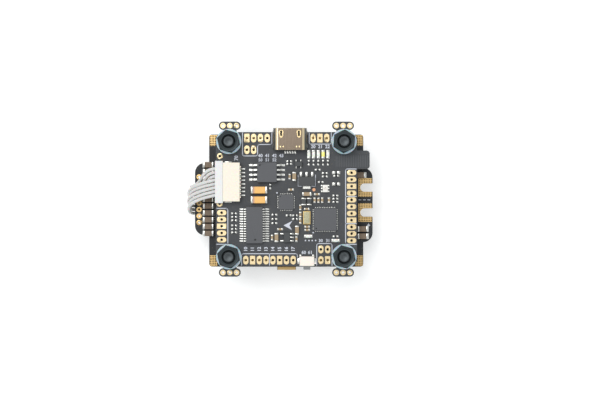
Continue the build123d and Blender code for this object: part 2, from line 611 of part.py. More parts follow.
# ---- boot button -------------------------------------------------------------------------------------
# A side-push switch on the -Y edge: the plunger slides towards +Y into the base.
BUTTON_FRONT = BUTTON_SETBACK - FC_EDGE_Y
BUTTON_FLOOR = 0.4
PLUNGER_Z = FC_Z1 + BUTTON_FLOOR + PLUNGER_GAP
COLLAR_WIDTH = PLUNGER_WIDTH + 2 * PLUNGER_COLLAR
COLLAR_FRONT = BUTTON_FRONT + BUTTON_WALL + PLUNGER_SLACK
CHAMBER_WIDTH = COLLAR_WIDTH + 2 * PLUNGER_GAP
CHAMBER_DEPTH = BUTTON_DEPTH - 2 * BUTTON_WALL
CLIP_T = 0.12
BUTTON_FOOT = (0.5, 0.45, 0.2)
BUTTON_FOOT_SPREAD = 0.45  # foot from the middle, as a share of the base's width
CHEEK_HEIGHT = 1.2
EAR = (0.5, 1.5, 0.3)


def button_base():
    """Moulded base with a chamber for the collar and a mouth for the stem."""
    base_y = BUTTON_FRONT + BUTTON_DEPTH / 2
    base = block(BUTTON_WIDTH, BUTTON_DEPTH, BUTTON_HEIGHT, BUTTON_X, base_y, FC_Z1)
    tall = PLUNGER_THICK + 2 * PLUNGER_GAP
    chamber_y = BUTTON_FRONT + BUTTON_WALL + CHAMBER_DEPTH / 2
    chamber = block(CHAMBER_WIDTH, CHAMBER_DEPTH, tall, BUTTON_X, chamber_y, FC_Z1 + BUTTON_FLOOR)
    mouth_width = PLUNGER_WIDTH + 2 * PLUNGER_GAP
    mouth_y = BUTTON_FRONT + BUTTON_WALL / 2
    mouth = block(mouth_width, BUTTON_WALL, tall, BUTTON_X, mouth_y, FC_Z1 + BUTTON_FLOOR)
    return base - chamber - mouth


def button_frame():
    """Sheet cheek with a soldered ear at each end of the base, and two soldered feet behind it."""
    y = BUTTON_FRONT + BUTTON_DEPTH / 2
    pieces = []
    for side in SIDES:
        cheek_x = BUTTON_X + side * (BUTTON_WIDTH + CLIP_T) / 2
        ear_x = BUTTON_X + side * (BUTTON_WIDTH / 2 + CLIP_T + EAR[0] / 2)
        cheek = block(CLIP_T, BUTTON_DEPTH, CHEEK_HEIGHT, cheek_x, y, FC_Z1)
        pieces.append(cheek + block(*EAR, ear_x, y, FC_Z1))
        foot_x = BUTTON_X + side * BUTTON_WIDTH * BUTTON_FOOT_SPREAD
        pieces.append(block(*BUTTON_FOOT, foot_x, BUTTON_FRONT + BUTTON_DEPTH + BUTTON_FOOT[1] / 2, FC_Z1))
    return pieces


def button_dome():
    """Contact dome against the back of the chamber, bowed towards the plunger."""
    back = BUTTON_FRONT + BUTTON_WALL + CHAMBER_DEPTH
    apex = COLLAR_FRONT + PLUNGER_COLLAR_T + PLUNGER_TRAVEL + PLUNGER_GAP
    bow = back - apex
    half = COLLAR_WIDTH * DOME_SPREAD / 2
    with BuildSketch(Plane.XY) as arch:
        with BuildLine():
            ThreePointArc((-half, 0), (0, -bow), (half, 0))
            Line((half, 0), (half - DOME_T, 0))
            ThreePointArc((half - DOME_T, 0), (0, DOME_T - bow), (DOME_T - half, 0))
            Line((DOME_T - half, 0), (-half, 0))
        make_face()
    return Pos(BUTTON_X, back, PLUNGER_Z) * extrude(arch.sketch, PLUNGER_THICK)


def button_plunger():
    """Stem that a fingernail presses, with the collar that keeps it in the base."""
    length = PLUNGER_OUT + BUTTON_WALL + PLUNGER_SLACK
    stem = block(PLUNGER_WIDTH, length, PLUNGER_THICK, BUTTON_X, COLLAR_FRONT - length / 2, PLUNGER_Z)
    collar_y = COLLAR_FRONT + PLUNGER_COLLAR_T / 2
    return stem + block(COLLAR_WIDTH, PLUNGER_COLLAR_T, PLUNGER_THICK, BUTTON_X, collar_y, PLUNGER_Z)


save("boot_button_base", button_base())
save("boot_button_frame", button_frame())
save("boot_button_dome", button_dome())
save("boot_button_plunger", button_plunger())


# ---- leaded chips ------------------------------------------------------------------------------------
CHIP_LIFT = 0.1           # daylight under a moulded chip


def gull_lead(reach, foot, width, exit_z):
    """A bent lead that leaves a body at x = 0 and stands on z = 0, pointing towards +X."""
    thick = LEAD_T
    shoulder = reach - foot
    lead = block(shoulder + thick, width, thick, (shoulder + thick) / 2, 0, exit_z)
    lead += block(thick, width, exit_z, shoulder + thick / 2)
    return lead + block(foot, width, thick, shoulder + foot / 2)


def leaded_chip(x, y, body, tip_span, foot, width, rows, turn=0):
    """Moulded body and its leads.  Rows gives the lead offsets on the -X and on the +X side."""
    spot = Pos(x, y, FC_Z1) * Rot(0, 0, turn)
    moulded = spot * block(body[0], body[1], body[2] - CHIP_LIFT, 0, 0, CHIP_LIFT)
    reach = (tip_span - body[0]) / 2
    leads = []
    for side, offsets in zip(SIDES, rows):
        for offset in offsets:
            lead = Pos(body[0] / 2, side * offset) * gull_lead(reach, foot, width, body[2] * 0.45)
            leads.append(spot * Rot(0, 0, 0 if side > 0 else 180) * lead)
    return moulded, leads


def even(count, pitch):
    """Offsets of a centred row."""
    return [(i - (count - 1) / 2) * pitch for i in range(count)]


# Place and body size, then the span over the lead tips, the foot's length and the lead's width.
OSD_CHIP = (-8.5, -6.9, (4.4, 9.7, 1.0), 7.4, 0.75, 0.26)
OSD_ROW = even(14, 0.65)
MEMORY_CHIP = (-5.15, 7.1, (5.2, 5.28, 1.75), 9.1, 0.8, 0.44)
MEMORY_ROW = even(4, 1.27)
osd, osd_leads = leaded_chip(*OSD_CHIP, (OSD_ROW, OSD_ROW))
memory, memory_leads = leaded_chip(*MEMORY_CHIP, (MEMORY_ROW, MEMORY_ROW))
save("osd_chip", osd)
save("osd_chip_leads", osd_leads)
save("memory_chip", memory)
save("memory_chip_leads", memory_leads)

AMPLIFIER = (0.15, -10.15, (1.6, 2.7, 1.1), 3.6, 0.45, 0.36)
AMPLIFIER_ROWS = (even(2, 1.88), even(3, 0.94))
GATE = (3.2, 9.3, (1.25, 1.9, 0.95), 2.4, 0.35, 0.22)
GATE_ROW = even(2, 1.24)
amp, amp_leads = leaded_chip(*AMPLIFIER, AMPLIFIER_ROWS)
gate, gate_leads = leaded_chip(*GATE, (GATE_ROW, GATE_ROW), 90)

DIODE = (1.9, 1.2, 0.95, 0.3)
DIODES = [(4.6, -0.65, 90), (6.07, -0.65, 90)]
diode_bodies, diode_ends = chip_parts(DIODES, DIODE, FC_Z1)
save("small_chips", [amp, gate] + diode_bodies)
save("small_chip_leads", amp_leads + gate_leads)

# The regulator has three narrow leads on its +Y side and one broad tab on the other.
REGULATOR = (4.5, 2.4, 1.5)
REGULATOR_X = 5.37
REGULATOR_Y = 4.7
REGULATOR_LEAD = (0.6, 1.3, 0.35)
REGULATOR_TAB = (2.0, 0.8, 0.4)
regulator_top = REGULATOR_Y + REGULATOR[1] / 2
regulator_bottom = REGULATOR_Y - REGULATOR[1] / 2
regulator_metal = [
    block(*REGULATOR_LEAD, REGULATOR_X + offset, regulator_top + REGULATOR_LEAD[1] / 2, FC_Z1)
    for offset in even(3, 1.5)
]
regulator_metal.append(block(*REGULATOR_TAB, REGULATOR_X, regulator_bottom - REGULATOR_TAB[1] / 2, FC_Z1))
save("regulator_chip", block(*REGULATOR, REGULATOR_X, REGULATOR_Y, FC_Z1))
save("regulator_leads", regulator_metal)


# ---- leadless chips ----------------------------------------------------------------------------------
def edge_pads(x, y, size, count, pitch, width, out, height):
    """Solder edge of a leadless chip: small blocks on all four sides."""
    pads = []
    for turn in (0, 90, 180, 270):
        side = Pos(x, y, FC_Z1) * Rot(0, 0, turn)
        for offset in even(count, pitch):
            pads.append(side * block(out, width, height, (size + out) / 2, offset))
    return pads


GYRO = (-0.1, -0.8, 4.0)
PROCESSOR = (10.3, -5.4, 6.0)
LEADLESS_HEIGHT = 0.9
OSCILLATOR = (2.0, 3.5, 0.9)
BAROMETER = (2.5, 2.0, 0.95)
save("gyro_chip", block(GYRO[2], GYRO[2], LEADLESS_HEIGHT, GYRO[0], GYRO[1], FC_Z1))
save("processor_chip", block(PROCESSOR[2], PROCESSOR[2], LEADLESS_HEIGHT, PROCESSOR[0], PROCESSOR[1], FC_Z1))
chip_pads = edge_pads(*GYRO, 7, 0.5, 0.26, 0.3, 0.2)
chip_pads += edge_pads(*PROCESSOR, 12, 0.46, 0.24, 0.3, 0.2)
save("chip_edge_pads", chip_pads)
save("oscillator", block(*OSCILLATOR, 5.4, -4.95, FC_Z1))
save("barometer", block(*BAROMETER, -6.0, 6.0, FC_Z0 - BAROMETER[2]))

# ---- two-ended parts of the flight controller --------------------------------------------------------
# Sizes are length, width, height and end; places are x, y and turn.
TANTALUM = (4.3, 1.8, 1.7, 0.5)
TANTALUMS = [(-7.25, 2.4, 180), (-7.25, -0.2, 180)]
STATUS_LED = (2.0, 0.85, 0.6, 0.35)
STATUS_LEDS = [(5.93 + 1.27 * i, 11.9, 90) for i in range(5)] + [(5.8, -9.85, 0), (13.05, -11.0, 0)]
CAP_BIG = (2.3, 1.0, 0.9, 0.35)
CAPS_BIG = [(5.4, 1.35, 0), (2.8, -8.25, 90), (-2.65, -10.2, 90), (2.08, 6.0, 90)]
CAP_SMALL = (1.3, 0.6, 0.55, 0.28)
CAPS_SMALL = [
    (0.87, 6.0, 90), (1.2, 2.5, 0), (2.67, -10.6, 90), (-3.8, -10.2, 90), (-1.7, -8.0, 0),
    (7.5, -0.3, 90), (8.5, -0.3, 90), (9.5, -0.3, 90), (11.3, -0.3, 90), (8.1, 1.3, 0),
    (3.7, -2.2, 90), (3.7, -4.1, 90), (3.7, -5.8, 90), (5.4, -2.65, 0), (5.5, -7.35, 0), (5.5, -8.2, 0),
]
RESISTOR_BIG = (1.8, 0.8, 0.5, 0.62)
RESISTORS_BIG = [(13.2, 7.0, 0), (13.2, 4.0, 0)]
RESISTOR = (1.25, 0.48, 0.36, 0.36)
RESISTORS = [(5.93 + 1.27 * i, 9.66, 90) for i in range(5)]
RESISTORS += [
    (-13.9, -3.82, 0), (-13.9, -4.74, 0), (-13.9, -5.66, 0), (-13.9, -7.03, 0), (-13.9, -7.95, 0),
    (-13.9, -8.86, 0), (-3.2, -4.15, 0), (-3.2, -5.3, 0), (-3.2, -6.4, 0), (0.6, -4.33, 0), (2.3, -4.33, 0),
    (2.3, -5.3, 0), (8.3, 7.8, 0), (10.2, 6.9, 0), (10.2, 6.0, 0), (9.1, 4.5, 0), (13.0, 0.93, 0),
    (13.0, 0.08, 0), (13.0, -0.78, 0), (13.05, -9.9, 0), (13.2, 6.15, 0), (0.75, 10.05, 0), (0.75, 9.3, 0),
    (-4.27, 3.35, 90),
]

bodies = {}
ends = list(diode_ends)
for name, places, size in (
    ("tantalum_capacitors", TANTALUMS, TANTALUM),
    ("status_leds", STATUS_LEDS, STATUS_LED),
    ("ceramic_capacitors", CAPS_BIG, CAP_BIG),
    ("ceramic_capacitors", CAPS_SMALL, CAP_SMALL),
    ("resistors", RESISTORS_BIG, RESISTOR_BIG),
    ("resistors", RESISTORS, RESISTOR),
):
    made, made_ends = chip_parts(places, size, FC_Z1)
    bodies.setdefault(name, []).extend(made)
    ends.extend(made_ends)
for name, solids in bodies.items():
    save(name, solids)
save("part_ends", ends)

# The colour light has three small feet on each side of a square cup.
RGB_PLACE = (10.3, 2.8)
RGB_CUP = (1.35, 1.95, 0.9)
RGB_FOOT = (0.45, 0.4, 0.25)
rgb_light = [block(*RGB_CUP, *RGB_PLACE, FC_Z1)]
for side in SIDES:
    foot_x = RGB_PLACE[0] + side * (RGB_CUP[0] + RGB_FOOT[0]) / 2
    for offset in even(3, 0.75):
        rgb_light.append(block(*RGB_FOOT, foot_x, RGB_PLACE[1] + offset, FC_Z1))
save("rgb_led", rgb_light)
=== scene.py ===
import math

import bmesh
import bpy
from bmesh.types import BMEdge, BMFace, BMVert
from mathutils import Matrix, Vector


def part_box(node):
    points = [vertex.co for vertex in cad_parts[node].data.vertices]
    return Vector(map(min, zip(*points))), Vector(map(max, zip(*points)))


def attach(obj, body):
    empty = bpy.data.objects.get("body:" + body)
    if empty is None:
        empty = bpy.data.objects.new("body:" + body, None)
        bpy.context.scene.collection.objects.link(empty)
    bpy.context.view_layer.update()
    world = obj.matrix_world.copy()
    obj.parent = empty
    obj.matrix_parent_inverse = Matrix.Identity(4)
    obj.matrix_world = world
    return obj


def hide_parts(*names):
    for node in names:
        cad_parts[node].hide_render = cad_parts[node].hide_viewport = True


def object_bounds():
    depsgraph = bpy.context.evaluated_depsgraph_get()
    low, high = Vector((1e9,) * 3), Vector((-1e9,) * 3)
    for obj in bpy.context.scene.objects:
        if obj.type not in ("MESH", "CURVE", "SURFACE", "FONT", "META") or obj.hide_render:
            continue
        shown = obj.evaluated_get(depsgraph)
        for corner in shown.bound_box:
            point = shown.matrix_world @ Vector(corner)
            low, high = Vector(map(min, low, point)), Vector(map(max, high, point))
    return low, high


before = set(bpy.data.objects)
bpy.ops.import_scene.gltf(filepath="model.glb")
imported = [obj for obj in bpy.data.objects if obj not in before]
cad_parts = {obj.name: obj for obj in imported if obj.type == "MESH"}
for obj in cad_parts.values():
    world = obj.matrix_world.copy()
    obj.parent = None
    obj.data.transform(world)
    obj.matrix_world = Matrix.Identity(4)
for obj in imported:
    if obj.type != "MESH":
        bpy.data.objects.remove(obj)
cad_box = [list(corner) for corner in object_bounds()]

# ---- camera, floor and light ----
# The camera hangs 600 mm above the upper board and looks straight down, a little off the board's centre.
# The floor is matt white card under the screw heads.  The light is one large soft panel high on the left, a
# weaker one low on the right, and a pale room that the plated parts reflect.
MM = 0.001
VIEW_HEIGHT = 600
FLOOR_REACH = 2.0
upper_low, upper_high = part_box("fc_board")


def add_object(name, data):
    """A new object, linked into the scene."""
    made = bpy.data.objects.new(name, data)
    bpy.context.scene.collection.objects.link(made)
    return made


camera_data = bpy.data.cameras.new("camera")
camera_data.lens = 135.6
camera_data.clip_start = 0.02
camera_data.clip_end = 10.0
camera = add_object("camera", camera_data)
camera.location = (3.60 * MM, -0.24 * MM, upper_high.z + VIEW_HEIGHT * MM)
bpy.context.scene.camera = camera
bpy.context.scene.view_settings.view_transform = "Standard"


def linear(code):
    """An sRGB hex colour as the linear RGBA that a shader socket takes."""
    shares = [int(code[i:i + 2], 16) / 255 for i in (1, 3, 5)]
    return [s / 12.92 if s <= 0.04045 else ((s + 0.055) / 1.055) ** 2.4 for s in shares] + [1.0]


def add_node(tree, kind, values=None, links=None, **settings):
    """Adds a shader node: its settings, its free sockets' values and the outputs that feed the rest."""
    made = tree.nodes.new(kind)
    for key, value in settings.items():
        setattr(made, key, value)
    for socket, value in (values or {}).items():
        made.inputs[socket].default_value = value
    for socket, output in (links or {}).items():
        tree.links.new(output, made.inputs[socket])
    return made


def ramp(tree, source, start, end, low=0.0, high=1.0):
    """A value that goes from low to high while the source goes from start to end."""
    ends = {"From Min": start, "From Max": end, "To Min": low, "To Max": high}
    return add_node(tree, "ShaderNodeMapRange", ends, {0: source}).outputs[0]


def blend(tree, share, first, second, **settings):
    """Two tones mixed by share.  Each is a hex colour or another node's output."""
    made = add_node(tree, "ShaderNodeMix", {}, {0: share}, data_type="RGBA", **settings)
    for socket, tone in ((6, first), (7, second)):
        if isinstance(tone, str):
            made.inputs[socket].default_value = linear(tone)
        else:
            tree.links.new(tone, made.inputs[socket])
    return made.outputs[2]


def feed(tree, socket, output):
    """Drives a socket of the finish's shader with another node's output."""
    tree.links.new(output, tree.nodes["shader"].inputs[socket])


def surface(name, tones, grain, rough, bump, shader_values):
    """A finish whose tone, gloss and relief follow a fine grain.

    Tones are its two colours, grain the grain's size in mm, rough its least and greatest roughness and bump
    the depth of the relief in mm.  The nodes that a finish may add to are shader, place, tone and relief.
    """
    material = bpy.data.materials.new(name)
    material.use_nodes = True
    tree = material.node_tree
    shader = tree.nodes["Principled BSDF"]
    shader.name = "shader"
    for socket, value in shader_values.items():
        shader.inputs[socket].default_value = value
    spot = add_node(tree, "ShaderNodeTexCoord").outputs["Object"]
    place = add_node(tree, "ShaderNodeMapping", {"Scale": [1 / MM] * 3}, {0: spot}, name="place")
    noise = add_node(tree, "ShaderNodeTexNoise", {"Scale": 1 / grain, "Detail": 4.0}, {0: place.outputs[0]})
    speck = noise.outputs[0]
    relief = add_node(tree, "ShaderNodeBump", {"Distance": bump * MM}, {"Height": speck}, name="relief")
    feed(tree, "Base Color", blend(tree, speck, *tones, name="tone"))
    feed(tree, "Roughness", ramp(tree, speck, 0.0, 1.0, *rough))
    feed(tree, "Normal", relief.outputs[0])
    return material


def metal(name, tones, grain, rough, bump):
    """A bare metal finish."""
    return surface(name, tones, grain, rough, bump, {"Metallic": 1.0})


# Uncoated card: matt, lit through like a copy table, with a paper grain that only softens the light.  Its
# back is clear, so that the underside of the object can be looked at.
matt_card = surface("matt_white_card", ("#f4f4f3", "#fafaf9"), 0.4, (0.85, 0.95), 0.01, {
    "Specular IOR Level": 0.2, "Emission Color": linear("#ffffff"), "Emission Strength": 0.3})
card_tree = matt_card.node_tree
card_side = add_node(card_tree, "ShaderNodeNewGeometry")
clear = add_node(card_tree, "ShaderNodeBsdfTransparent")
card_face = add_node(card_tree, "ShaderNodeMixShader", {}, {
    0: card_side.outputs["Backfacing"], 1: card_tree.nodes["shader"].outputs[0], 2: clear.outputs[0]})
card_tree.links.new(card_face.outputs[0], card_tree.nodes["Material Output"].inputs["Surface"])
floor_bm = bmesh.new()
bmesh.ops.create_grid(floor_bm, x_segments=1, y_segments=1, size=FLOOR_REACH)
bmesh.ops.translate(floor_bm, verts=floor_bm.verts, vec=(0, 0, cad_box[0][2]))
floor_mesh = bpy.data.meshes.new("floor")
floor_bm.to_mesh(floor_mesh)
floor_bm.free()
floor_mesh.materials.append(matt_card)
floor = add_object("floor", floor_mesh)

for name, spot, size, power in (
    ("panel", (-0.30, 0.35, 1.0), 0.7, 6.0),
    ("fill", (0.55, -0.45, 0.7), 0.5, 1.6),
):
    lamp_data = bpy.data.lights.new(name, "AREA")
    lamp_data.shape = "SQUARE"
    lamp_data.size = size
    lamp_data.energy = power
    lamp = add_object(name, lamp_data)
    lamp.location = spot
    lamp.rotation_euler = (-Vector(spot)).to_track_quat("-Z", "Y").to_euler()

room = bpy.data.worlds.new("pale_room")
room.use_nodes = True
sky = room.node_tree.nodes["Background"].inputs
sky["Color"].default_value = linear("#f2f5f8")
sky["Strength"].default_value = 0.62
bpy.context.scene.world = room


# ---- circuit boards ----
# Two boards of glass-epoxy laminate, routed to shape and coated with liquid photo-imaged solder mask: dark
# slate on the upper one, black on the lower.  Copper shows through as faint steps, with small filled vias.
def dress(material, *nodes):
    """Gives CAD nodes their finish."""
    for name in nodes:
        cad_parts[name].data.materials.clear()
        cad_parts[name].data.materials.append(material)


def reading(tree, kind, axis):
    """One axis of an Object or Normal coordinate: 0 is x, 1 is y and 2 is z."""
    source = add_node(tree, "ShaderNodeTexCoord").outputs[kind]
    return add_node(tree, "ShaderNodeSeparateXYZ", {}, {0: source}).outputs[axis]


# The cells of the copper pours, the spacing of the vias and the height of a step in the copper, in mm.
POUR_CELL = 2.4
VIA_SPACING = 1.7
COPPER_STEP = 0.02


def solder_mask(name, tones, edge_tone, pour_tone):
    """Solder mask over copper: satin coat, raised pours, filled vias, bare laminate on the routed edge."""
    material = surface(name, tones, 0.12, (0.42, 0.55), 0.004, {"Specular IOR Level": 0.42})
    tree = material.node_tree
    place, tone, relief = (tree.nodes[key].outputs for key in ("place", "tone", "relief"))
    # Copper pours have straight and 45-degree borders.
    pours = add_node(tree, "ShaderNodeTexVoronoi", {"Scale": 1 / POUR_CELL}, {0: place[0]},
                     distance="CHEBYCHEV", voronoi_dimensions="2D")
    copper = ramp(tree, pours.outputs["Color"], 0.48, 0.5)
    poured = blend(tree, copper, tone[2], pour_tone)
    vias = add_node(tree, "ShaderNodeTexVoronoi", {"Scale": 1 / VIA_SPACING}, {0: place[0]},
                    voronoi_dimensions="2D")
    dot = ramp(tree, vias.outputs["Distance"], 0.07, 0.1, 1.0, 0.0)
    dotted = blend(tree, dot, poured, edge_tone)
    step = add_node(tree, "ShaderNodeMath", {}, {0: copper, 1: dot}, operation="SUBTRACT")
    stepped = add_node(tree, "ShaderNodeBump", {"Distance": COPPER_STEP * MM, "Strength": 0.6},
                       {"Height": step.outputs[0], "Normal": relief[0]})
    # The routed edge faces sideways, so the mask's share falls with the normal's height.
    upright = add_node(tree, "ShaderNodeMath", {}, {0: reading(tree, "Normal", 2)}, operation="ABSOLUTE")
    flat = ramp(tree, upright.outputs[0], 0.4, 0.6)
    plies = add_node(tree, "ShaderNodeTexWave", {"Scale": 0.9, "Distortion": 0.2, "Detail": 1.0},
                     {0: place[0]}, bands_direction="Z")
    cut = blend(tree, plies.outputs[1], edge_tone, "#8a8168")
    feed(tree, "Base Color", blend(tree, flat, cut, dotted))
    feed(tree, "Normal", stepped.outputs[0])
    return material


dress(solder_mask("slate_solder_mask", ("#3a3c3f", "#46484b"), "#504e48", "#424447"), "fc_board")
dress(solder_mask("black_solder_mask", ("#1b1d1f", "#25282a"), "#45423a", "#212427"), "esc_board")


# ---- gold-flashed copper ----
# Lands, plated holes and corner rings: etched copper with nickel and a thin gold flash.  The upper board's
# are pale from flux and tin; the lower board's are a deeper gold.  Their rims are rounded by the etch.
def weld(bm, gap=0.001):
    """Merges the verts that are within gap mm of each other."""
    bmesh.ops.remove_doubles(bm, verts=bm.verts, dist=gap * MM)


def copy_of(*nodes):
    """A merged copy of CAD nodes as a bmesh, with each flat side one face."""
    bm = bmesh.new()
    for name in nodes:
        bm.from_mesh(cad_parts[name].data)
    weld(bm)
    bmesh.ops.dissolve_limit(bm, angle_limit=math.radians(1), verts=bm.verts, edges=bm.edges)
    return bm


def ease(bm, width, segments=2, shortest=0.0):
    """Rounds the sharp edges that are at least as long as shortest.  Both sizes are in mm."""
    sharp = [
        edge for edge in bm.edges
        if edge.is_manifold and edge.calc_face_angle() > math.radians(40)
        and edge.calc_length() > shortest * MM
    ]
    bmesh.ops.bevel(bm, geom=sharp, offset=width * MM, offset_type="OFFSET", segments=segments,
                    profile=0.5, affect="EDGES", clamp_overlap=True, material=-1)


def piece(name, bm, material, slot, nodes=(), body="stack", smooth=50):
    """A finished piece from a bmesh: outward faces, soft shading, finish and body, with the CAD nodes it
    replaces hidden.
    """
    bmesh.ops.recalc_face_normals(bm, faces=bm.faces)
    mesh = bpy.data.meshes.new(name)
    bm.to_mesh(mesh)
    bm.free()
    mesh.shade_smooth()
    mesh.set_sharp_from_angle(angle=math.radians(smooth))
    mesh.materials.append(material)
    made = add_object(name, mesh)
    made.modifiers.new("even_shading", "WEIGHTED_NORMAL").keep_sharp = True
    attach(made, body)
    if nodes:
        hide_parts(*nodes)
    return made


def eased(name, nodes, material, slot, width, segments=2, shortest=0.0, **more):
    """CAD nodes as one finished piece, with their sharp edges rounded."""
    bm = copy_of(*nodes)
    ease(bm, width, segments, shortest)
    piece(name, bm, material, slot, nodes, **more)


# Gold flash over tinned pads: pale, soft highlights, faint clouding.
pale_gold = metal("pale_gold_flash", ("#d9bf8c", "#f0dfb8"), 0.5, (0.28, 0.42), 0.004)
# Bare gold flash: deeper yellow, a little smoother.
deep_gold = metal("deep_gold_flash", ("#cda86c", "#e6c892"), 0.6, (0.25, 0.4), 0.004)
for node, finish, name in (
    ("fc_solder_pads", pale_gold, "upper_solder_lands"),
    ("fc_corner_rings", pale_gold, "upper_corner_rings"),
    ("esc_signal_rings", deep_gold, "lower_signal_rings"),
):
    eased(name, [node], finish, "gold_plating", 0.025, 1)

# One round test point of the upper board is bare copper, dulled by the oven.
bare_copper = metal("oven_dulled_copper", ("#c9926e", "#dcab88"), 0.3, (0.35, 0.5), 0.003)
test_point = bmesh.new()
test_spot = Vector((7.3, 2.5, 0)) * MM + Vector((0, 0, upper_high.z))
bmesh.ops.create_cone(test_point, cap_ends=True, segments=24, radius1=0.45 * MM, radius2=0.42 * MM,
                      depth=0.06 * MM, matrix=Matrix.Translation(test_spot))
piece("copper_test_point", test_point, bare_copper, "gold_plating")

# The battery and motor lands carry rows of small plated vias, as dots of painted shade where the holes go in.
# Distances are in mm.
VIA_PITCH = 0.46
VIA_RADIUS = 0.12
via_gold = deep_gold.copy()
via_gold.name = "via_stitched_gold"
via_tree = via_gold.node_tree
place, tone, relief = (via_tree.nodes[key].outputs for key in ("place", "tone", "relief"))
spot = place[0]
for operation, value in (
    ("MODULO", [VIA_PITCH] * 3),
    ("ABSOLUTE", None),
    ("SUBTRACT", (VIA_PITCH / 2, VIA_PITCH / 2, 0)),
    ("MULTIPLY", (1, 1, 0)),
    ("LENGTH", None),
):
    step = add_node(via_tree, "ShaderNodeVectorMath", {1: value} if value else {}, {0: spot},
                    operation=operation)
    spot = step.outputs[0]
hole = ramp(via_tree, step.outputs["Value"], VIA_RADIUS, VIA_RADIUS + 0.03)
sunk = add_node(via_tree, "ShaderNodeBump", {"Distance": 0.05 * MM}, {"Height": hole, "Normal": relief[0]})
# The dark brown in each via is painted shade in its hole.
feed(via_tree, "Base Color", blend(via_tree, hole, "#33230c", tone[2]))
feed(via_tree, "Normal", sunk.outputs[0])
for node, finish, name in (
    ("esc_power_pads", via_gold, "battery_lands"),
    ("esc_motor_pads", via_gold, "motor_lands"),
    ("esc_edge_pad", deep_gold, "edge_land"),
):
    eased(name, [node], finish, "gold_plating", 0.02, 1)


# ---- printed marks ----
# Screen-printed epoxy ink, 0.2 mm lines on the solder mask: borders round the pad groups, a heading arrow and
# plain pin numbers.  It is cured ink, so it is matt and stands just proud of the mask.
INK_T = 0.02
INK_WIDTH = 0.2
INK_WEIGHT = 0.03


def ink_spot(x, y, z):
    """The place of a mark's middle, at x and y in mm on a face at z in metres."""
    return Matrix.Translation((x * MM, y * MM, z + INK_T * MM / 2))


def disc(bm, place, radius, thick, segments):
    """A flat round disc about a place.  Sizes are in mm."""
    bmesh.ops.create_cone(bm, cap_ends=True, segments=segments, radius1=radius * MM, radius2=radius * MM,
                          depth=thick * MM, matrix=place)


def ink_dot(bm, x, y, z, radius):
    """A printed dot."""
    disc(bm, ink_spot(x, y, z), radius, INK_T, 12)


def ink_line(bm, points, z):
    """A printed line along points in mm, with round joints."""
    for start, end in zip(points, points[1:]):
        run = Vector(end) - Vector(start)
        middle = (Vector(end) + Vector(start)) / 2
        turn = Matrix.Rotation(math.atan2(run.y, run.x), 4, "Z")
        size = Matrix.Diagonal((run.length * MM, INK_WIDTH * MM, INK_T * MM, 1))
        bmesh.ops.create_cube(bm, size=1.0, matrix=ink_spot(middle.x, middle.y, z) @ turn @ size)
    for x, y in points:
        ink_dot(bm, x, y, z, INK_WIDTH / 2)


def join(bm, part):
    """Adds a part to a bmesh, its faces outward, and frees the part."""
    bmesh.ops.recalc_face_normals(part, faces=part.faces)
    mesh = bpy.data.meshes.new("part")
    part.to_mesh(mesh)
    part.free()
    bm.from_mesh(mesh)
    bpy.data.meshes.remove(mesh)


def ink_number(bm, text, x, y, z, size, turn=0.0):
    """A printed pin number, centred on x, y, from the font's outline made into a mesh."""
    letters = bpy.data.curves.new("number", "FONT")
    letters.body = text
    letters.size = size * MM
    letters.offset = INK_WEIGHT * size * MM
    letters.align_x = "CENTER"
    letters.align_y = "CENTER"
    letters.extrude = INK_T * MM / 2
    letters.resolution_u = 2
    holder = bpy.data.objects.new("number", letters)
    mesh = bpy.data.meshes.new_from_object(holder)
    mesh.transform(ink_spot(x, y, z) @ Matrix.Rotation(turn, 4, "Z"))
    label = bmesh.new()
    label.from_mesh(mesh)
    weld(label, 0.0001)
    join(bm, label)
    bpy.data.meshes.remove(mesh)
    bpy.data.objects.remove(holder)


def only(kind, made):
    """The verts, edges or faces among what a bmesh operator made."""
    return [item for item in made if isinstance(item, kind)]


def thicken(bm, faces, height):
    """Raises flat faces by height in mm into a closed slab."""
    raised = bmesh.ops.extrude_face_region(bm, geom=faces)
    bmesh.ops.translate(bm, verts=only(BMVert, raised["geom"]), vec=(0, 0, height * MM))


# White epoxy ink: matt, with a lavender cast from the dark mask under it.
white_ink = surface("white_epoxy_ink", ("#c6cad6", "#e2e5ec"), 0.1, (0.55, 0.7), 0.003, {})
top = upper_high.z
marks = bmesh.new()
for line in (
    [(-18.6, -2.46), (-15.9, -2.46), (-15.56, -2.8), (-15.56, -11.8)],
    [(-18.6, -12.0), (-15.7, -12.0)],
    [(-11.67, 17.7), (-11.67, 11.8), (-11.33, 11.46), (-8.0, 11.46), (-7.66, 11.8), (-7.66, 14.2),
     (-7.36, 14.5), (-4.2, 14.5), (-3.88, 14.8), (-3.88, 17.7)],
    [(6.05, 17.7), (6.05, 14.9), (6.35, 14.6), (11.6, 14.6), (11.9, 14.9), (11.9, 17.7)],
    [(-11.9, -17.7), (-11.9, -14.8), (-11.6, -14.5), (2.6, -14.5), (2.9, -14.8), (2.9, -15.4)],
    [(-4.5, -14.5), (-4.5, -17.6)],
    [(8.04, -17.6), (8.04, -12.1), (8.34, -11.8), (11.8, -11.8), (12.1, -12.1), (12.1, -17.7)],
    [(18.6, 8.0), (16.0, 8.0), (15.7, 7.7), (15.7, -11.6)],
    *([(15.7, y), (18.6, y)] for y in (0.69, -6.5, -12.0)),
    [(3.13, 6.4), (3.13, 3.4), (4.2, 3.4)],
    [(6.6, 3.4), (7.7, 3.4), (7.7, 6.4)],
):
    ink_line(marks, line, top)
for x in (5.06, 6.0, 6.84, 7.75):
    ink_dot(marks, x, -11.0, top, 0.2)
ink_dot(marks, -2.5, 1.65, top, 0.22)
ink_dot(marks, 7.1, -8.9, top, 0.2)
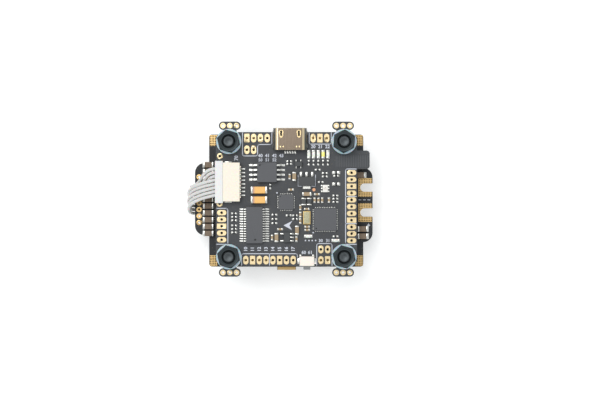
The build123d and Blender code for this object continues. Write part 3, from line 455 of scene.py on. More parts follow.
# Each run of numbers: its first place, step, count, first number, size and turn.
for start, step, count, first, size, turn in (
    ((-10.8, -13.3), 1.8, 8, 10, 1.25, math.pi / 2),
    ((7.1, 13.9), 1.9, 3, 20, 1.2, 0.0),
    ((9.1, -11.05), 1.9, 2, 30, 1.1, 0.0),
    ((-6.9, 11.5), 1.85, 4, 40, 1.2, 0.0),
    ((-6.9, 10.35), 1.85, 3, 50, 1.1, 0.0),
    ((4.6, -14.2), 1.7, 2, 60, 1.2, 0.0),
    ((-13.3, 10.9), 1.6, 1, 70, 1.3, math.pi / 2),
):
    for i in range(count):
        ink_number(marks, str(first + i), start[0] + i * step, start[1], top, size, turn)
# The heading arrow is one solid mark with a notch in its tail.
ARROW = ((-0.78, -6.98), (1.58, -5.8), (0.76, -6.95), (1.47, -8.2))
arrow = bmesh.new()
thicken(arrow, [arrow.faces.new([arrow.verts.new((x * MM, y * MM, top)) for x, y in ARROW])], INK_T)
piece("printed_arrow", arrow, white_ink, "led_white")
piece("printed_marks_upper", marks, white_ink, "led_white")

# The side tab's copper bars show through the mask as fine ribs.
BAR_PITCH = 0.46
rib_mask = surface("mask_over_copper_bars", ("#4b4d50", "#585a5d"), 0.12, (0.42, 0.55), 0.004, {
    "Specular IOR Level": 0.42})
bars = bmesh.new()
for i in range(19):
    x = 13.2 + i * BAR_PITCH
    ink_line(bars, [(x, 8.4), (x, 11.7)], top)
piece("tab_copper_bars", bars, rib_mask, "fc_mask")

lower_low, lower_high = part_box("esc_board")
lower_marks = bmesh.new()
ink_number(lower_marks, "+", 22.0, -7.1, lower_high.z, 1.6)
for x in (18.2, 19.4, 20.6, 21.8):
    ink_line(lower_marks, [(x, -0.2), (x + 0.6, -0.2)], lower_high.z)
piece("printed_marks_lower", lower_marks, white_ink, "led_white")


# ---- stack screws ----
# M3 button-head screws of alloy steel with a black zinc finish, heads below.  The bare length shows its
# rolled thread; the tip stands just proud of the nut.
def islands(node):
    """The lowest and highest corner of each separate solid of a CAD node."""
    bm = bmesh.new()
    bm.from_mesh(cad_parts[node].data)
    weld(bm)
    seen = set()
    found = []
    for start in bm.verts:
        if start in seen:
            continue
        seen.add(start)
        reach = [start]
        for vert in reach:
            for edge in vert.link_edges:
                other = edge.other_vert(vert)
                if other not in seen:
                    seen.add(other)
                    reach.append(other)
        spans = [[vert.co[axis] for vert in reach] for axis in range(3)]
        found.append((Vector([min(span) for span in spans]), Vector([max(span) for span in spans])))
    bm.free()
    return found


def turned(bm, outline, centre, steps=48):
    """Spins an outline of (radius, height) points in mm round the upright line through centre."""
    verts = [bm.verts.new(centre + Vector((radius, 0, height)) * MM) for radius, height in outline]
    edges = [bm.edges.new(pair) for pair in zip(verts, verts[1:])]
    bmesh.ops.spin(bm, geom=verts + edges, cent=centre, axis=(0, 0, 1), angle=math.tau, steps=steps,
                   use_merge=True)


def foot_of(low, high):
    """The middle of the lowest face of a box."""
    return Vector(((low.x + high.x) / 2, (low.y + high.y) / 2, low.z))


# All in mm: a profile is (radius, height) points, and the hexagon socket is cut up into the head.
HEAD_T = 1.65
THREAD_PITCH = 0.5
THREAD_TURNS = 5
SOCKET_REACH = 1.15
SOCKET_DEPTH = 1.0
HEAD_PROFILE = [(1.3, 0), (1.75, 0.04), (2.2, 0.3), (2.6, 0.75), (2.8, 1.2), (2.85, 1.5), (2.78, HEAD_T),
                (1.6, HEAD_T)]
screws = bmesh.new()
for low, high in islands("stack_screws"):
    foot = foot_of(low, high)
    tall = (high.z - low.z) / MM
    outline = list(HEAD_PROFILE)
    for turn in range(THREAD_TURNS):
        z = HEAD_T + turn * THREAD_PITCH
        outline += [(1.25, z + 0.05), (1.5, z + 0.22), (1.5, z + 0.28), (1.25, z + 0.45)]
    outline += [(1.23, 4.2), (1.23, tall - 0.6)]
    outline += [(1.45, tall - 0.45), (1.45, tall - 0.35), (1.2, tall), (0.8, tall)]
    outline += [(0.55, tall - 0.08), (0, tall - 0.1)]
    turned(screws, outline, foot)
    rim = [edge for edge in screws.edges if edge.is_boundary]
    mouth = bmesh.ops.create_circle(screws, segments=6, radius=SOCKET_REACH * MM,
                                    matrix=Matrix.Translation(foot))
    flats = list({edge for vert in mouth["verts"] for edge in vert.link_edges})
    bmesh.ops.triangle_fill(screws, use_beauty=True, edges=rim + flats)
    walls = bmesh.ops.extrude_edge_only(screws, edges=flats)
    deep = only(BMVert, walls["geom"])
    bmesh.ops.translate(screws, verts=deep, vec=(0, 0, SOCKET_DEPTH * MM))
    bmesh.ops.contextual_create(screws, geom=deep)
    weld(screws)
# Black zinc on alloy steel: near-black metal, satin, slightly uneven.
black_zinc = metal("black_zinc_steel", ("#45494b", "#5a5f61"), 0.35, (0.38, 0.5), 0.003)
piece("stack_screws_turned", screws, black_zinc, "black_steel", ["stack_screws"], smooth=35)


# ---- stack nuts ----
# M3 locking nuts, cold-formed and blackened: six flats, corners turned off above and below, and a rolled rim
# round the countersunk mouth.  Each is a turned blank cut by six flats.
NUT_TURNS = {(-1, 1): 44.0, (1, 1): 26.5, (-1, -1): 43.0, (1, -1): 44.0}
NUT_ACROSS_FLATS = 5.5
nuts = bmesh.new()
for low, high in islands("stack_nuts"):
    centre = foot_of(low, high)
    turn = math.radians(NUT_TURNS[(1 if centre.x > 0 else -1, 1 if centre.y > 0 else -1)])
    tall = (high.z - low.z) / MM
    blank = bmesh.new()
    outline = [(1.3, 0), (2.7, 0), (3.2, 0.28), (3.2, tall - 0.35), (2.62, tall - 0.02), (2.2, tall - 0.12)]
    outline += [(2.1, tall), (1.92, tall), (1.75, tall - 0.15), (1.3, tall - 0.5), (1.3, 0)]
    turned(blank, outline, centre, 96)
    weld(blank)
    for side in range(6):
        angle = turn + math.radians(30 + 60 * side)
        out = Vector((math.cos(angle), math.sin(angle), 0))
        flat_at = centre + out * NUT_ACROSS_FLATS / 2 * MM
        trimmed = bmesh.ops.bisect_plane(blank, geom=blank.verts[:] + blank.edges[:] + blank.faces[:],
                                         plane_co=flat_at, plane_no=out, clear_outer=True)
        bmesh.ops.edgeloop_fill(blank, edges=only(BMEdge, trimmed["geom_cut"]))
    join(nuts, blank)
# Phosphate-blackened steel: darker than the screws and a little rougher.
black_nut = metal("blackened_nut_steel", ("#3a4042", "#4e5557"), 0.3, (0.48, 0.62), 0.004)
piece("stack_nuts_cut", nuts, black_nut, "black_steel", ["stack_nuts"], smooth=30)


# ---- vibration bushes ----
# Moulded silicone grommets, soft and milky blue: a flange on each side of the board, squeezed a little
# barrel-shaped, joined by a neck through the board's hole.
def bush(bm, low, high, board_low, board_high):
    """One grommet round the screw, in the height from low to high."""
    tall, under, over = ((z - low.z) / MM for z in (high.z, board_low.z, board_high.z))
    outline = [(1.62, 0), (2.75, 0), (3.05, 0.08)]
    outline += [(3.25, 0.3), (3.33, under * 0.35), (3.35, under * 0.6), (3.3, under - 0.3)]
    outline += [(3.1, under - 0.08), (2.8, under), (2.0, under)]
    outline += [(2.0, over), (2.8, over), (3.1, over + 0.08), (3.3, over + 0.3)]
    outline += [(3.35, (over + tall) / 2), (3.33, tall - 0.55), (3.27, tall - 0.25), (3.1, tall - 0.06)]
    outline += [(2.9, tall), (1.62, tall), (1.62, 0)]
    turned(bm, outline, foot_of(low, high), 64)


# Silicone rubber: light passes a millimetre or so under the skin, satin with a fine mould texture.
blue_silicone = surface("milky_blue_silicone", ("#b2ccd7", "#c8dde5"), 0.25, (0.38, 0.5), 0.004, {
    "Subsurface Weight": 0.35, "Subsurface Scale": 1.0 * MM, "IOR": 1.41, "Coat Weight": 0.15})
for node, board in (("esc_grommets", "esc_board"), ("fc_grommets", "fc_board")):
    bushes = bmesh.new()
    board_low, board_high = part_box(board)
    for low, high in islands(node):
        bush(bushes, low, high, board_low, board_high)
    weld(bushes)
    piece(f"{node}_moulded", bushes, blue_silicone, "blue_rubber", [node], smooth=60)


# ---- moulded chips ----
# Transfer-moulded epoxy packages, dark grey and matt, with softened edges and a pin-one dimple in the top.
DIMPLE_DEPTH = 0.06


def moulded(bm, low, high, edge, dimple=None, depth=DIMPLE_DEPTH):
    """A moulded block with rounded edges.  A dimple is its x and y share of the top and its radius in mm."""
    body = bmesh.new()
    size = high - low
    shape = Matrix.Translation((low + high) / 2) @ Matrix.Diagonal((*size, 1))
    bmesh.ops.create_cube(body, size=1.0, matrix=shape)
    ease(body, edge)
    if dimple:
        top_face = max(body.faces, key=lambda face: (round(face.calc_center_median().z, 7), face.calc_area()))
        outer = list(top_face.edges)
        bmesh.ops.delete(body, geom=[top_face], context="FACES_ONLY")
        spot = Vector((low.x + size.x * dimple[0], low.y + size.y * dimple[1], high.z))
        ring = bmesh.ops.create_circle(body, segments=20, radius=dimple[2] * MM,
                                       matrix=Matrix.Translation(spot))
        mouth = list({e for vert in ring["verts"] for e in vert.link_edges})
        bmesh.ops.triangle_fill(body, use_beauty=True, edges=outer + mouth)
        wall = bmesh.ops.extrude_edge_only(body, edges=mouth)
        bottom = only(BMVert, wall["geom"])
        bmesh.ops.translate(body, verts=bottom, vec=(0, 0, -depth * MM))
        bmesh.ops.scale(body, verts=bottom, vec=(0.8, 0.8, 1), space=Matrix.Translation(-spot))
        bmesh.ops.contextual_create(body, geom=bottom)
    join(bm, body)


def blocks(node, edge, dimple=None, depth=DIMPLE_DEPTH):
    """Every solid of a CAD node as a moulded block."""
    bm = bmesh.new()
    for low, high in islands(node):
        moulded(bm, low, high, edge, dimple, depth)
    return bm


# Moulding epoxy: matt dark grey, a fine sandy texture from the mould's spark-eroded face.
chip_epoxy = surface("moulded_chip_epoxy", ("#515255", "#636467"), 0.08, (0.5, 0.65), 0.006, {
    "Specular IOR Level": 0.4})
power_epoxy = surface("power_chip_epoxy", ("#3b3d3e", "#484a4b"), 0.1, (0.45, 0.6), 0.006, {})
# The floor of each pin-one dimple is polished, where the ejector pin pressed, and narrower than its mouth.
# Its near-black tone is painted shade in the hollow.
dimple_gloss_and_painted_shade = surface("polished_floor_and_painted_shade", ("#1d1e1e", "#2a2b2b"), 0.1, (0.2, 0.3), 0.001, {})
FLOOR_SHARE = 0.78
floors = bmesh.new()
for node, name, edge, dimple, finish in (
    ("osd_chip", "video_overlay_chip", 0.12, (0.55, 0.1, 0.34), chip_epoxy),
    ("memory_chip", "memory_chip_body", 0.15, (0.14, 0.86, 0.3), chip_epoxy),
    ("gyro_chip", "gyro_chip_body", 0.06, (0.12, 0.88, 0.16), chip_epoxy),
    ("processor_chip", "processor_chip_body", 0.06, (0.1, 0.1, 0.22), chip_epoxy),
    ("small_chips", "small_chip_bodies", 0.1, None, power_epoxy),
    ("regulator_chip", "regulator_chip_body", 0.15, None, power_epoxy),
    ("esc_microcontrollers", "motor_controller_chips", 0.06, (0.15, 0.85, 0.2), power_epoxy),
    ("esc_gate_drivers", "gate_driver_chips", 0.06, (0.15, 0.85, 0.16), power_epoxy),
    ("esc_regulator", "supply_chip", 0.08, (0.18, 0.82, 0.2), power_epoxy),
    ("esc_mosfets", "power_transistors", 0.08, None, power_epoxy),
    ("esc_current_shunts", "current_shunts", 0.08, None, power_epoxy),
):
    piece(name, blocks(node, edge, dimple), finish, "chip_resin", [node])
    for low, high in islands(node) if dimple else ():
        size = high - low
        floor_z = high.z - DIMPLE_DEPTH * MM
        spot = Vector((low.x + size.x * dimple[0], low.y + size.y * dimple[1], floor_z))
        disc(floors, Matrix.Translation(spot), dimple[2] * FLOOR_SHARE, 0.02, 20)
piece("dimple_floors", floors, dimple_gloss_and_painted_shade, "chip_resin")

# Each power transistor ends in four tinned tips on the side that faces the board's long edge and one broad
# tab on the other; the motor controllers and gate drivers have a row of short tips on each side.
TIP_T = 0.22


def tip_row(bm, low, high, board_z, along, side, count, width, out):
    """Tinned tips in a row along one side of a package, standing on the board.  Sizes are in mm."""
    other = 1 - along
    edge = high[other] if side > 0 else low[other]
    step = (high[along] - low[along]) / count
    lift = TIP_T * MM if low.z > board_z - 0.01 * MM else -TIP_T * MM
    near = [0.0, 0.0, min(board_z, board_z + lift)]
    far = [0.0, 0.0, max(board_z, board_z + lift)]
    near[other], far[other] = sorted((edge - side * 0.05 * MM, edge + side * out * MM))
    for i in range(count):
        middle = low[along] + step * (i + 0.5)
        near[along], far[along] = middle - width * MM / 2, middle + width * MM / 2
        moulded(bm, Vector(near), Vector(far), 0.03)


# Solder-dipped copper tips: bright, softly wrinkled.
tip_tin = metal("solder_dipped_tips", ("#c4c4be", "#e4e4de"), 0.3, (0.25, 0.4), 0.008)
tips = bmesh.new()
for low, high in islands("esc_mosfets"):
    face_z = lower_high.z if low.z > lower_low.z else lower_low.z
    outer = 1 if low.y > 0 else -1
    tip_row(tips, low, high, face_z, 0, outer, 4, 0.6, 0.22)
    tip_row(tips, low, high, face_z, 0, -outer, 1, 4.0, 0.3)
for node, count in (("esc_microcontrollers", 8), ("esc_gate_drivers", 5)):
    for low, high in islands(node):
        for along, side in ((0, -1), (0, 1), (1, -1), (1, 1)):
            tip_row(tips, low, high, lower_high.z, along, side, count, 0.24, 0.12)
piece("package_tips", tips, tip_tin, "tin")

# The storage choke is pressed iron powder: a rounded grey block.
iron_powder = surface("pressed_iron_powder", ("#3c3e40", "#54575a"), 0.12, (0.55, 0.7), 0.012, {
    "Metallic": 0.2})
piece("storage_choke", blocks("esc_inductor", 0.3, (0.5, 0.5, 0.55), 0.04), iron_powder, "ferrite",
      ["esc_inductor"])

# Pressure sensor: a plain nickel-silver lid, on the underside.
lid_metal = metal("nickel_silver_lid", ("#b4b0a4", "#cbc8be"), 0.4, (0.25, 0.35), 0.003)
piece("pressure_sensor_lid", blocks("barometer", 0.1), lid_metal, "tin", ["barometer"])


# ---- bent leads ----
# Copper leads stamped from strip, bent to a gull wing and dipped in tin.  Each runs out of the package, down
# through two small bends, and ends in a flat foot soldered to its land.
LEAD_T = 0.15
LEAD_BEND = 0.16
LEAD_LEAN = math.radians(78)


def bent_lead(bm, start, out, reach, foot, width, drop):
    """A lead from start going out, down by drop and out again.  Sizes are in mm; out is a unit vector."""
    across = out.cross(Vector((0, 0, 1)))
    turn = Matrix((across, Vector((0, 0, 1)), out)).transposed().to_4x4()
    face_at = Matrix.Translation(start) @ turn @ Matrix.Diagonal((width * MM, LEAD_T * MM, 1, 1))
    grid_made = bmesh.ops.create_grid(bm, x_segments=1, y_segments=1, size=0.5, matrix=face_at)
    tip = list({face for vert in grid_made["verts"] for face in vert.link_faces})
    shoulder = max(reach - foot - LEAD_BEND * 1.6, 0.02)
    fall = max(drop - 2 * LEAD_BEND * (1 - math.cos(LEAD_LEAN)), 0.05) / math.sin(LEAD_LEAN)
    heading = out.copy()

    def grow(length):
        made = bmesh.ops.extrude_face_region(bm, geom=tip)["geom"]
        bmesh.ops.delete(bm, geom=tip, context="FACES_ONLY")
        bmesh.ops.translate(bm, verts=only(BMVert, made), vec=heading * length * MM)
        return only(BMFace, made)

    def bend(angle):
        middle = sum((v.co for v in tip[0].verts), Vector()) / 4
        side = heading.cross(across)
        centre = middle + side * LEAD_BEND * MM * (1 if angle > 0 else -1)
        made = bmesh.ops.spin(bm, geom=tip + list(tip[0].edges) + list(tip[0].verts), cent=centre,
                              axis=across, angle=-angle, steps=3)
        heading.rotate(Matrix.Rotation(-angle, 3, across))
        return only(BMFace, made["geom_last"])

    tip = grow(shoulder)
    tip = bend(LEAD_LEAN)
    tip = grow(fall)
    tip = bend(-LEAD_LEAN)
    tip = grow(foot)


# Reflowed tin: bright, softly wrinkled.
bright_tin = metal("reflowed_tin", ("#cfcfc9", "#f2f2ec"), 0.3, (0.22, 0.38), 0.008)
leads = bmesh.new()
for chip, node, foot in (("osd_chip", "osd_chip_leads", 0.75), ("memory_chip", "memory_chip_leads", 0.8)):
    chip_low, chip_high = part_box(chip)
    for low, high in islands(node):
        out = Vector((1 if low.x > chip_low.x else -1, 0, 0))
        side_x = chip_high.x if out.x > 0 else chip_low.x
        start = Vector((side_x, (low.y + high.y) / 2, high.z - LEAD_T * MM / 2))
        drop = (high.z - low.z) / MM - LEAD_T
        bent_lead(leads, start, out, (high.x - low.x) / MM, foot, (high.y - low.y) / MM, drop)
        # The land is a little wider and longer than the foot.
        toe_x = high.x if out.x > 0 else low.x
        land_ends = sorted((toe_x - out.x * (foot + 0.1) * MM, toe_x + out.x * 0.2 * MM))
        land_low = Vector((land_ends[0], low.y - 0.03 * MM, top))
        land_high = Vector((land_ends[1], high.y + 0.03 * MM, top + 0.05 * MM))
        moulded(leads, land_low, land_high, 0.02)
bmesh.ops.holes_fill(leads, edges=leads.edges, sides=4)
piece("package_leads", leads, bright_tin, "tin", ["osd_chip_leads", "memory_chip_leads"], smooth=40)

eased("small_package_leads", ["small_chip_leads", "regulator_leads"], bright_tin, "tin", 0.04)
eased("leadless_chip_lands", ["chip_edge_pads"], bright_tin, "tin", 0.03, 1)


# ---- two-ended parts ----
# Capacitors, resistors, diodes and indicator lights: a fired or moulded body between two dipped metal ends,
# each held by a small wedge of solder that climbs from its land.

# Barium-titanate ceramic: warm taupe, matt, faintly mottled where it was fired.
fired_ceramic = surface("fired_taupe_ceramic", ("#7c6a57", "#8f7b67"), 0.25, (0.45, 0.6), 0.006, {})
pale_ceramic = surface("fired_pale_ceramic", ("#9c8768", "#b39c7c"), 0.25, (0.45, 0.6), 0.006, {})
# Glazed resistor face: dark, glassy.
dark_glaze = surface("dark_resistor_glaze", ("#202224", "#2f3234"), 0.2, (0.2, 0.3), 0.002, {
    "Coat Weight": 0.3})
for name, node, edge, finish, slot in (
    ("bulk_capacitor_bodies", "esc_capacitors", 0.12, fired_ceramic, "ceramic_brown"),
    ("ceramic_capacitor_bodies", "ceramic_capacitors", 0.06, pale_ceramic, "ceramic_brown"),
    ("resistor_bodies", "resistors", 0.03, dark_glaze, "chip_resin"),
    ("terminal_caps_upper", "part_ends", 0.05, bright_tin, "tin"),
    ("terminal_caps_lower", "esc_part_ends", 0.1, bright_tin, "tin"),
):
    piece(name, blocks(node, edge), finish, slot, [node])

# Moulded tantalum resin is orange with a salmon polarity band at the left end.
tantalum_resin = surface("moulded_tantalum_resin", ("#f0b45c", "#f8c67a"), 0.2, (0.38, 0.5), 0.005, {
    "Coat Weight": 0.1})
BAND_WIDTH = 0.45
tantalum_tree = tantalum_resin.node_tree
band_x = min(low.x for low, high in islands("tantalum_capacitors")) + BAND_WIDTH * MM
in_band = add_node(tantalum_tree, "ShaderNodeMath", {1: band_x}, {0: reading(tantalum_tree, "Object", 0)},
                   operation="LESS_THAN")
feed(tantalum_tree, "Base Color",
     blend(tantalum_tree, in_band.outputs[0], tantalum_tree.nodes["tone"].outputs[2], "#cea184"))
piece("tantalum_bodies", blocks("tantalum_capacitors", 0.12), tantalum_resin, "tantalum_orange",
      ["tantalum_capacitors"])

# Clear epoxy over a white reflector: nearly white when unlit, and the fourth light has a yellow phosphor.
# Its faint emission is a painted glow; the light is off.
clear_white = surface("clear_epoxy_on_white", ("#eeeee2", "#f8f8f0"), 0.3, (0.2, 0.3), 0.002, {
    "Coat Weight": 0.5, "Subsurface Weight": 0.2, "Subsurface Scale": 0.3 * MM})
# The emission here is a painted glow, not a lit light.
yellow_phosphor = surface("yellow_phosphor_epoxy", ("#f2ea76", "#f8f290"), 0.3, (0.2, 0.3), 0.002, {
    "Coat Weight": 0.5, "Emission Color": linear("#f4ea6a"), "Emission Strength": 0.15})
lights = sorted(islands("status_leds"), key=lambda box: -box[0].y)
top_row = sorted(lights[:5], key=lambda box: box[0].x)
amber = top_row[3]
white_lights = bmesh.new()
yellow_light = bmesh.new()
for box in lights:
    moulded(yellow_light if box is amber else white_lights, *box, 0.12)
piece("indicator_lights", white_lights, clear_white, "led_white", ["status_leds"])
piece("indicator_light_yellow", yellow_light, yellow_phosphor, "led_white")


def touching(a, b):
    """True if two boxes meet."""
    return all(a[0][i] < b[1][i] + 0.01 * MM and b[0][i] < a[1][i] + 0.01 * MM for i in range(3))


def solder_wedge(bm, end, out, board_z, reach):
    """A wedge of solder from the outer face of a metal end down to its land."""
    low, high = (corner.copy() for corner in end)
    axis = 0 if abs(out.x) > abs(out.y) else 1
    (high if out[axis] > 0 else low)[axis] += math.copysign(reach * MM, out[axis])
    rise = (high.z - low.z) * 0.6
    low.z, high.z = board_z, board_z + rise
    middle = (low + high) / 2
    shape = Matrix.Translation(middle) @ Matrix.Diagonal((*(high - low), 1))
    made = bmesh.ops.create_cube(bm, size=1.0, matrix=shape)
    for vert in made["verts"]:
        outer = (vert.co[axis] - middle[axis]) * out[axis] > 0
        if vert.co.z > middle.z and outer:
            vert.co.z = board_z + 0.04 * MM
        elif vert.co.z > middle.z:
            vert.co[axis] += out[axis] * 0.02 * MM


solder = bmesh.new()
UPPER_BODIES = ("tantalum_capacitors", "ceramic_capacitors", "resistors", "status_leds", "small_chips")
for body_nodes, end_node, board_z, reach in (
    (UPPER_BODIES, "part_ends", top, 0.16),
    (("esc_capacitors",), "esc_part_ends", lower_high.z, 0.3),
):
    ends = islands(end_node)
    for body_node in body_nodes:
        for body in islands(body_node):
            for end in ends:
                if touching(body, end):
                    out = (end[0] + end[1] - body[0] - body[1]) / 2
                    out.z = 0
                    solder_wedge(solder, end, out.normalized(), board_z, reach)
piece("solder_wedges", solder, bright_tin, "tin", smooth=30)

# Quartz oscillator: a tray with a gold-plated rim and a pale nickel lid seam-welded on it.
rim_gold = metal("oscillator_gold_rim", ("#c9ab6c", "#dcc48c"), 0.3, (0.3, 0.42), 0.002)
lid_nickel = metal("seam_welded_lid", ("#a39f80", "#c6c2a4"), 0.5, (0.24, 0.34), 0.001)
tray_low, tray_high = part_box("oscillator")
tray = bmesh.new()
moulded(tray, tray_low, tray_high - Vector((0, 0, 0.2 * MM)), 0.06)
piece("oscillator_tray", tray, rim_gold, "can_gold", ["oscillator"])
lid = bmesh.new()
inset = Vector((0.22, 0.22, 0)) * MM
moulded(lid, Vector((tray_low.x, tray_low.y, tray_high.z - 0.22 * MM)) + inset, tray_high - inset, 0.06)
piece("oscillator_lid", lid, lid_nickel, "can_gold")

# Colour light: a white square cup on six small feet, with three dies in its round well.
cup_plastic = surface("white_reflector_cup", ("#efece4", "#f8f6f0"), 0.3, (0.35, 0.45), 0.003, {
    "Coat Weight": 0.2})
WELL_DEPTH = 0.2
cup = bmesh.new()
feet = bmesh.new()
for low, high in islands("rgb_led"):
    if high.x - low.x > 1.0 * MM:
        moulded(cup, low, high, 0.08, (0.5, 0.5, 0.48), WELL_DEPTH)
        well = foot_of(low, high)
        well.z = high.z - WELL_DEPTH * MM
    else:
        moulded(feet, low, high, 0.04)
piece("colour_light_cup", cup, cup_plastic, "led_white", ["rgb_led"])
piece("colour_light_feet", feet, bright_tin, "tin")
dies = bmesh.new()
for angle in (90, 210, 330):
    spot = well + Vector((math.cos(math.radians(angle)), math.sin(math.radians(angle)), 0)) * 0.2 * MM
    moulded(dies, spot - Vector((0.07, 0.07, 0)) * MM, spot + Vector((0.07, 0.07, 0.08)) * MM, 0.01)
die_tone = surface("light_die", ("#7a5a4a", "#9c6c50"), 0.2, (0.2, 0.3), 0.001, {})
piece("colour_light_dies", dies, die_tone, "led_white")


# ---- USB receptacle ----
# Deep-drawn steel shell with a nickel finish, open at the front, with two latch windows in its top, each
# in a raised lip, and four legs soldered into the board.  A black plastic tongue with contacts stands inside.

# Nickel over steel, brushed along its length.  Its tone is painted light that follows how far the surface
# faces
# up: a brown painted reflection on the flat top, a pale gold painted highlight on the rounded shoulder, and
# grey painted shade down the sides.
nickel_with_painted_light = metal("nickel_shell_with_painted_light", ("#776a5b", "#8b7d6f"), 0.35, (0.26, 0.38), 0.004)
warm_tree = nickel_with_painted_light.node_tree
warm_tree.nodes["place"].inputs["Scale"].default_value = (1 / MM, 0.12 / MM, 1 / MM)
facing = reading(warm_tree, "Normal", 2)
# Painted shade down the sides and a painted highlight on the shoulder, by the normal's height.
painted_side_and_shoulder = blend(warm_tree, ramp(warm_tree, facing, 0.80, 0.86), "#8f8d88", "#f2dfb8")
# Only the flattest top keeps the base tone's brown, a painted reflection.
painted_top_share = ramp(warm_tree, facing, 0.985, 0.995)
feed(warm_tree, "Base Color", blend(warm_tree, painted_top_share, painted_side_and_shoulder, warm_tree.nodes["tone"].outputs[2]))
eased("usb_shell_drawn", ["usb_shell"], nickel_with_painted_light, "usb_steel", 0.06, smooth=35)

shell_low, shell_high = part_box("usb_shell")
shell_mid = (shell_low + shell_high) / 2
# The lips' pale gold is a painted reflection on the shell's steel round each latch window; the weld spots
# share it.
lip_painted_reflection = metal("latch_lip_painted_reflection", ("#e0c48c", "#f2deb2"), 0.4, (0.22, 0.34), 0.003)
lips = bmesh.new()
legs = bmesh.new()
# In mm: the latch windows' distance from the middle, the lip's round nose and the legs' distance.
LATCH_X = 2.34
LIP_NOSE = 0.62
LEG_X = 4.42
for side in (-1, 1):
    # A raised teardrop lip round each latch window: round at the front, narrowing to the back.
    latch_x = shell_mid.x + side * LATCH_X * MM
    lip_z = shell_high.z - 0.02 * MM
    nose = Vector((latch_x, shell_high.y - 1.12 * MM, lip_z))
    arc = [math.pi * i / 12 for i in range(13)]
    rim = [nose + Vector((math.cos(a), math.sin(a), 0)) * LIP_NOSE * MM for a in arc]
    tail = ((-0.42, -1.15), (-0.2, -1.45), (0.2, -1.45), (0.42, -1.15))
    rim += [nose + Vector((dx, dy, 0)) * MM for dx, dy in tail]
    window = ((-0.25, -0.72), (0.25, -0.72), (0.25, -2.12), (-0.25, -2.12))
    slot = [Vector((latch_x, shell_high.y, lip_z)) + Vector((dx, dy, 0)) * MM for dx, dy in window]
    lip_edges = []
    for loop in (rim, slot):
        corners = [lips.verts.new(spot) for spot in loop]
        lip_edges += [lips.edges.new(pair) for pair in zip(corners, corners[1:] + corners[:1])]
    filled = bmesh.ops.triangle_fill(lips, use_beauty=True, edges=lip_edges)
    thicken(lips, only(BMFace, filled["geom"]), 0.06)
    # Two bright weld spots near the back edge.
    for weld_x in (1.75, 2.5):
        weld_at = Vector((shell_mid.x + side * weld_x * MM, shell_low.y + 0.8 * MM, lip_z))
        weld_high = weld_at + Vector((0.15, 0.25, 0.05)) * MM
        moulded(lips, weld_at - Vector((0.15, 0.25, 0)) * MM, weld_high, 0.02)
    # Each leg goes through the board and stands in a fillet of solder.
    leg_x = shell_mid.x + side * LEG_X * MM
    for y in (1.1, 4.6):
        leg_y = shell_low.y + y * MM
        for half_x, half_y, z_low, z_high, edge in (
            (0.13, 0.4, upper_low.z - 0.4 * MM, shell_low.z + 1.5 * MM, 0.06),
            (0.2, 0.55, top, top + 0.18 * MM, 0.08),
        ):
            corner = Vector((leg_x - half_x * MM, leg_y - half_y * MM, z_low))
            moulded(legs, corner, Vector((leg_x + half_x * MM, leg_y + half_y * MM, z_high)), edge)
piece("usb_latch_lips", lips, lip_painted_reflection, "usb_steel")
# Tin over the steel legs: duller than on the small parts, because it cooled slowly.
dull_tin = metal("slow_cooled_tin", ("#8f8e8a", "#a9a8a3"), 0.3, (0.4, 0.55), 0.008)
piece("usb_shell_legs", legs, dull_tin, "tin")
# Liquid-crystal polymer: black, satin, with flow marks.
black_polymer = surface("black_liquid_crystal_polymer", ("#141414", "#1f1f1f"), 0.4, (0.35, 0.5), 0.004, {})
eased("usb_tongue_moulded", ["usb_tongue"], black_polymer, "usb_resin", 0.05)
eased("usb_contact_strips", ["usb_contacts"], bright_tin, "gold_plating", 0.01, 1)


# ---- harness headers and plugs ----
# Side-entry wire-to-board headers in natural nylon with eight tinned contacts bent to feet behind, and white
# nylon plugs pushed into them.
NYLON = {"Subsurface Weight": 0.12, "Subsurface Scale": 0.5 * MM, "IOR": 1.53}
# Natural nylon: warm cream, satin, a little light under the skin.
natural_nylon = surface("natural_cream_nylon", ("#f4e9d6", "#fcf3e3"), 0.5, (0.4, 0.52), 0.005, NYLON)
# White nylon: cooler and slightly smoother.
white_nylon = surface("white_nylon", ("#e2e2e0", "#efefed"), 0.5, (0.35, 0.48), 0.004, NYLON)
CONTACT_PITCH = 1.0
for board, board_z, up in (("fc", top, 1), ("esc", lower_low.z, -1)):
    eased(f"{board}_header_shell", [f"{board}_header_housing"], natural_nylon, "header_cream", 0.12, 2, 1.0)
    box_low, box_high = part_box(f"{board}_header_housing")
    # Ribs between the contacts stiffen the back wall.
    ribs = bmesh.new()
    for i in range(9):
        y = (box_low.y + box_high.y) / 2 + (i - 4) * CONTACT_PITCH * MM
        z_low, z_high = sorted((board_z + 0.5 * MM * up, board_z + 2.6 * MM * up))
        rib_low = Vector((box_high.x - 0.05 * MM, y - 0.2 * MM, z_low))
        moulded(ribs, rib_low, Vector((box_high.x + 0.3 * MM, y + 0.2 * MM, z_high)), 0.06)
    piece(f"{board}_header_ribs", ribs, natural_nylon, "header_cream")
    eased(f"{board}_plug_body", [f"{board}_plug"], white_nylon, "plug_white", 0.15, 2, 1.0)
    pins = bmesh.new()
    for low, high in islands(f"{board}_header_contacts"):
        if high.x > box_high.x:
            start = Vector((box_high.x, (low.y + high.y) / 2, board_z + 1.45 * MM * up))
            bent_lead(pins, start, Vector((1, 0, 0)), (high.x - box_high.x) / MM, 0.7, 0.34, 1.37 * up)
        else:
            moulded(pins, low, high, 0.06)
    bmesh.ops.holes_fill(pins, edges=pins.edges, sides=4)
    piece(f"{board}_header_pins", pins, bright_tin, "tin", [f"{board}_header_contacts"], smooth=40)


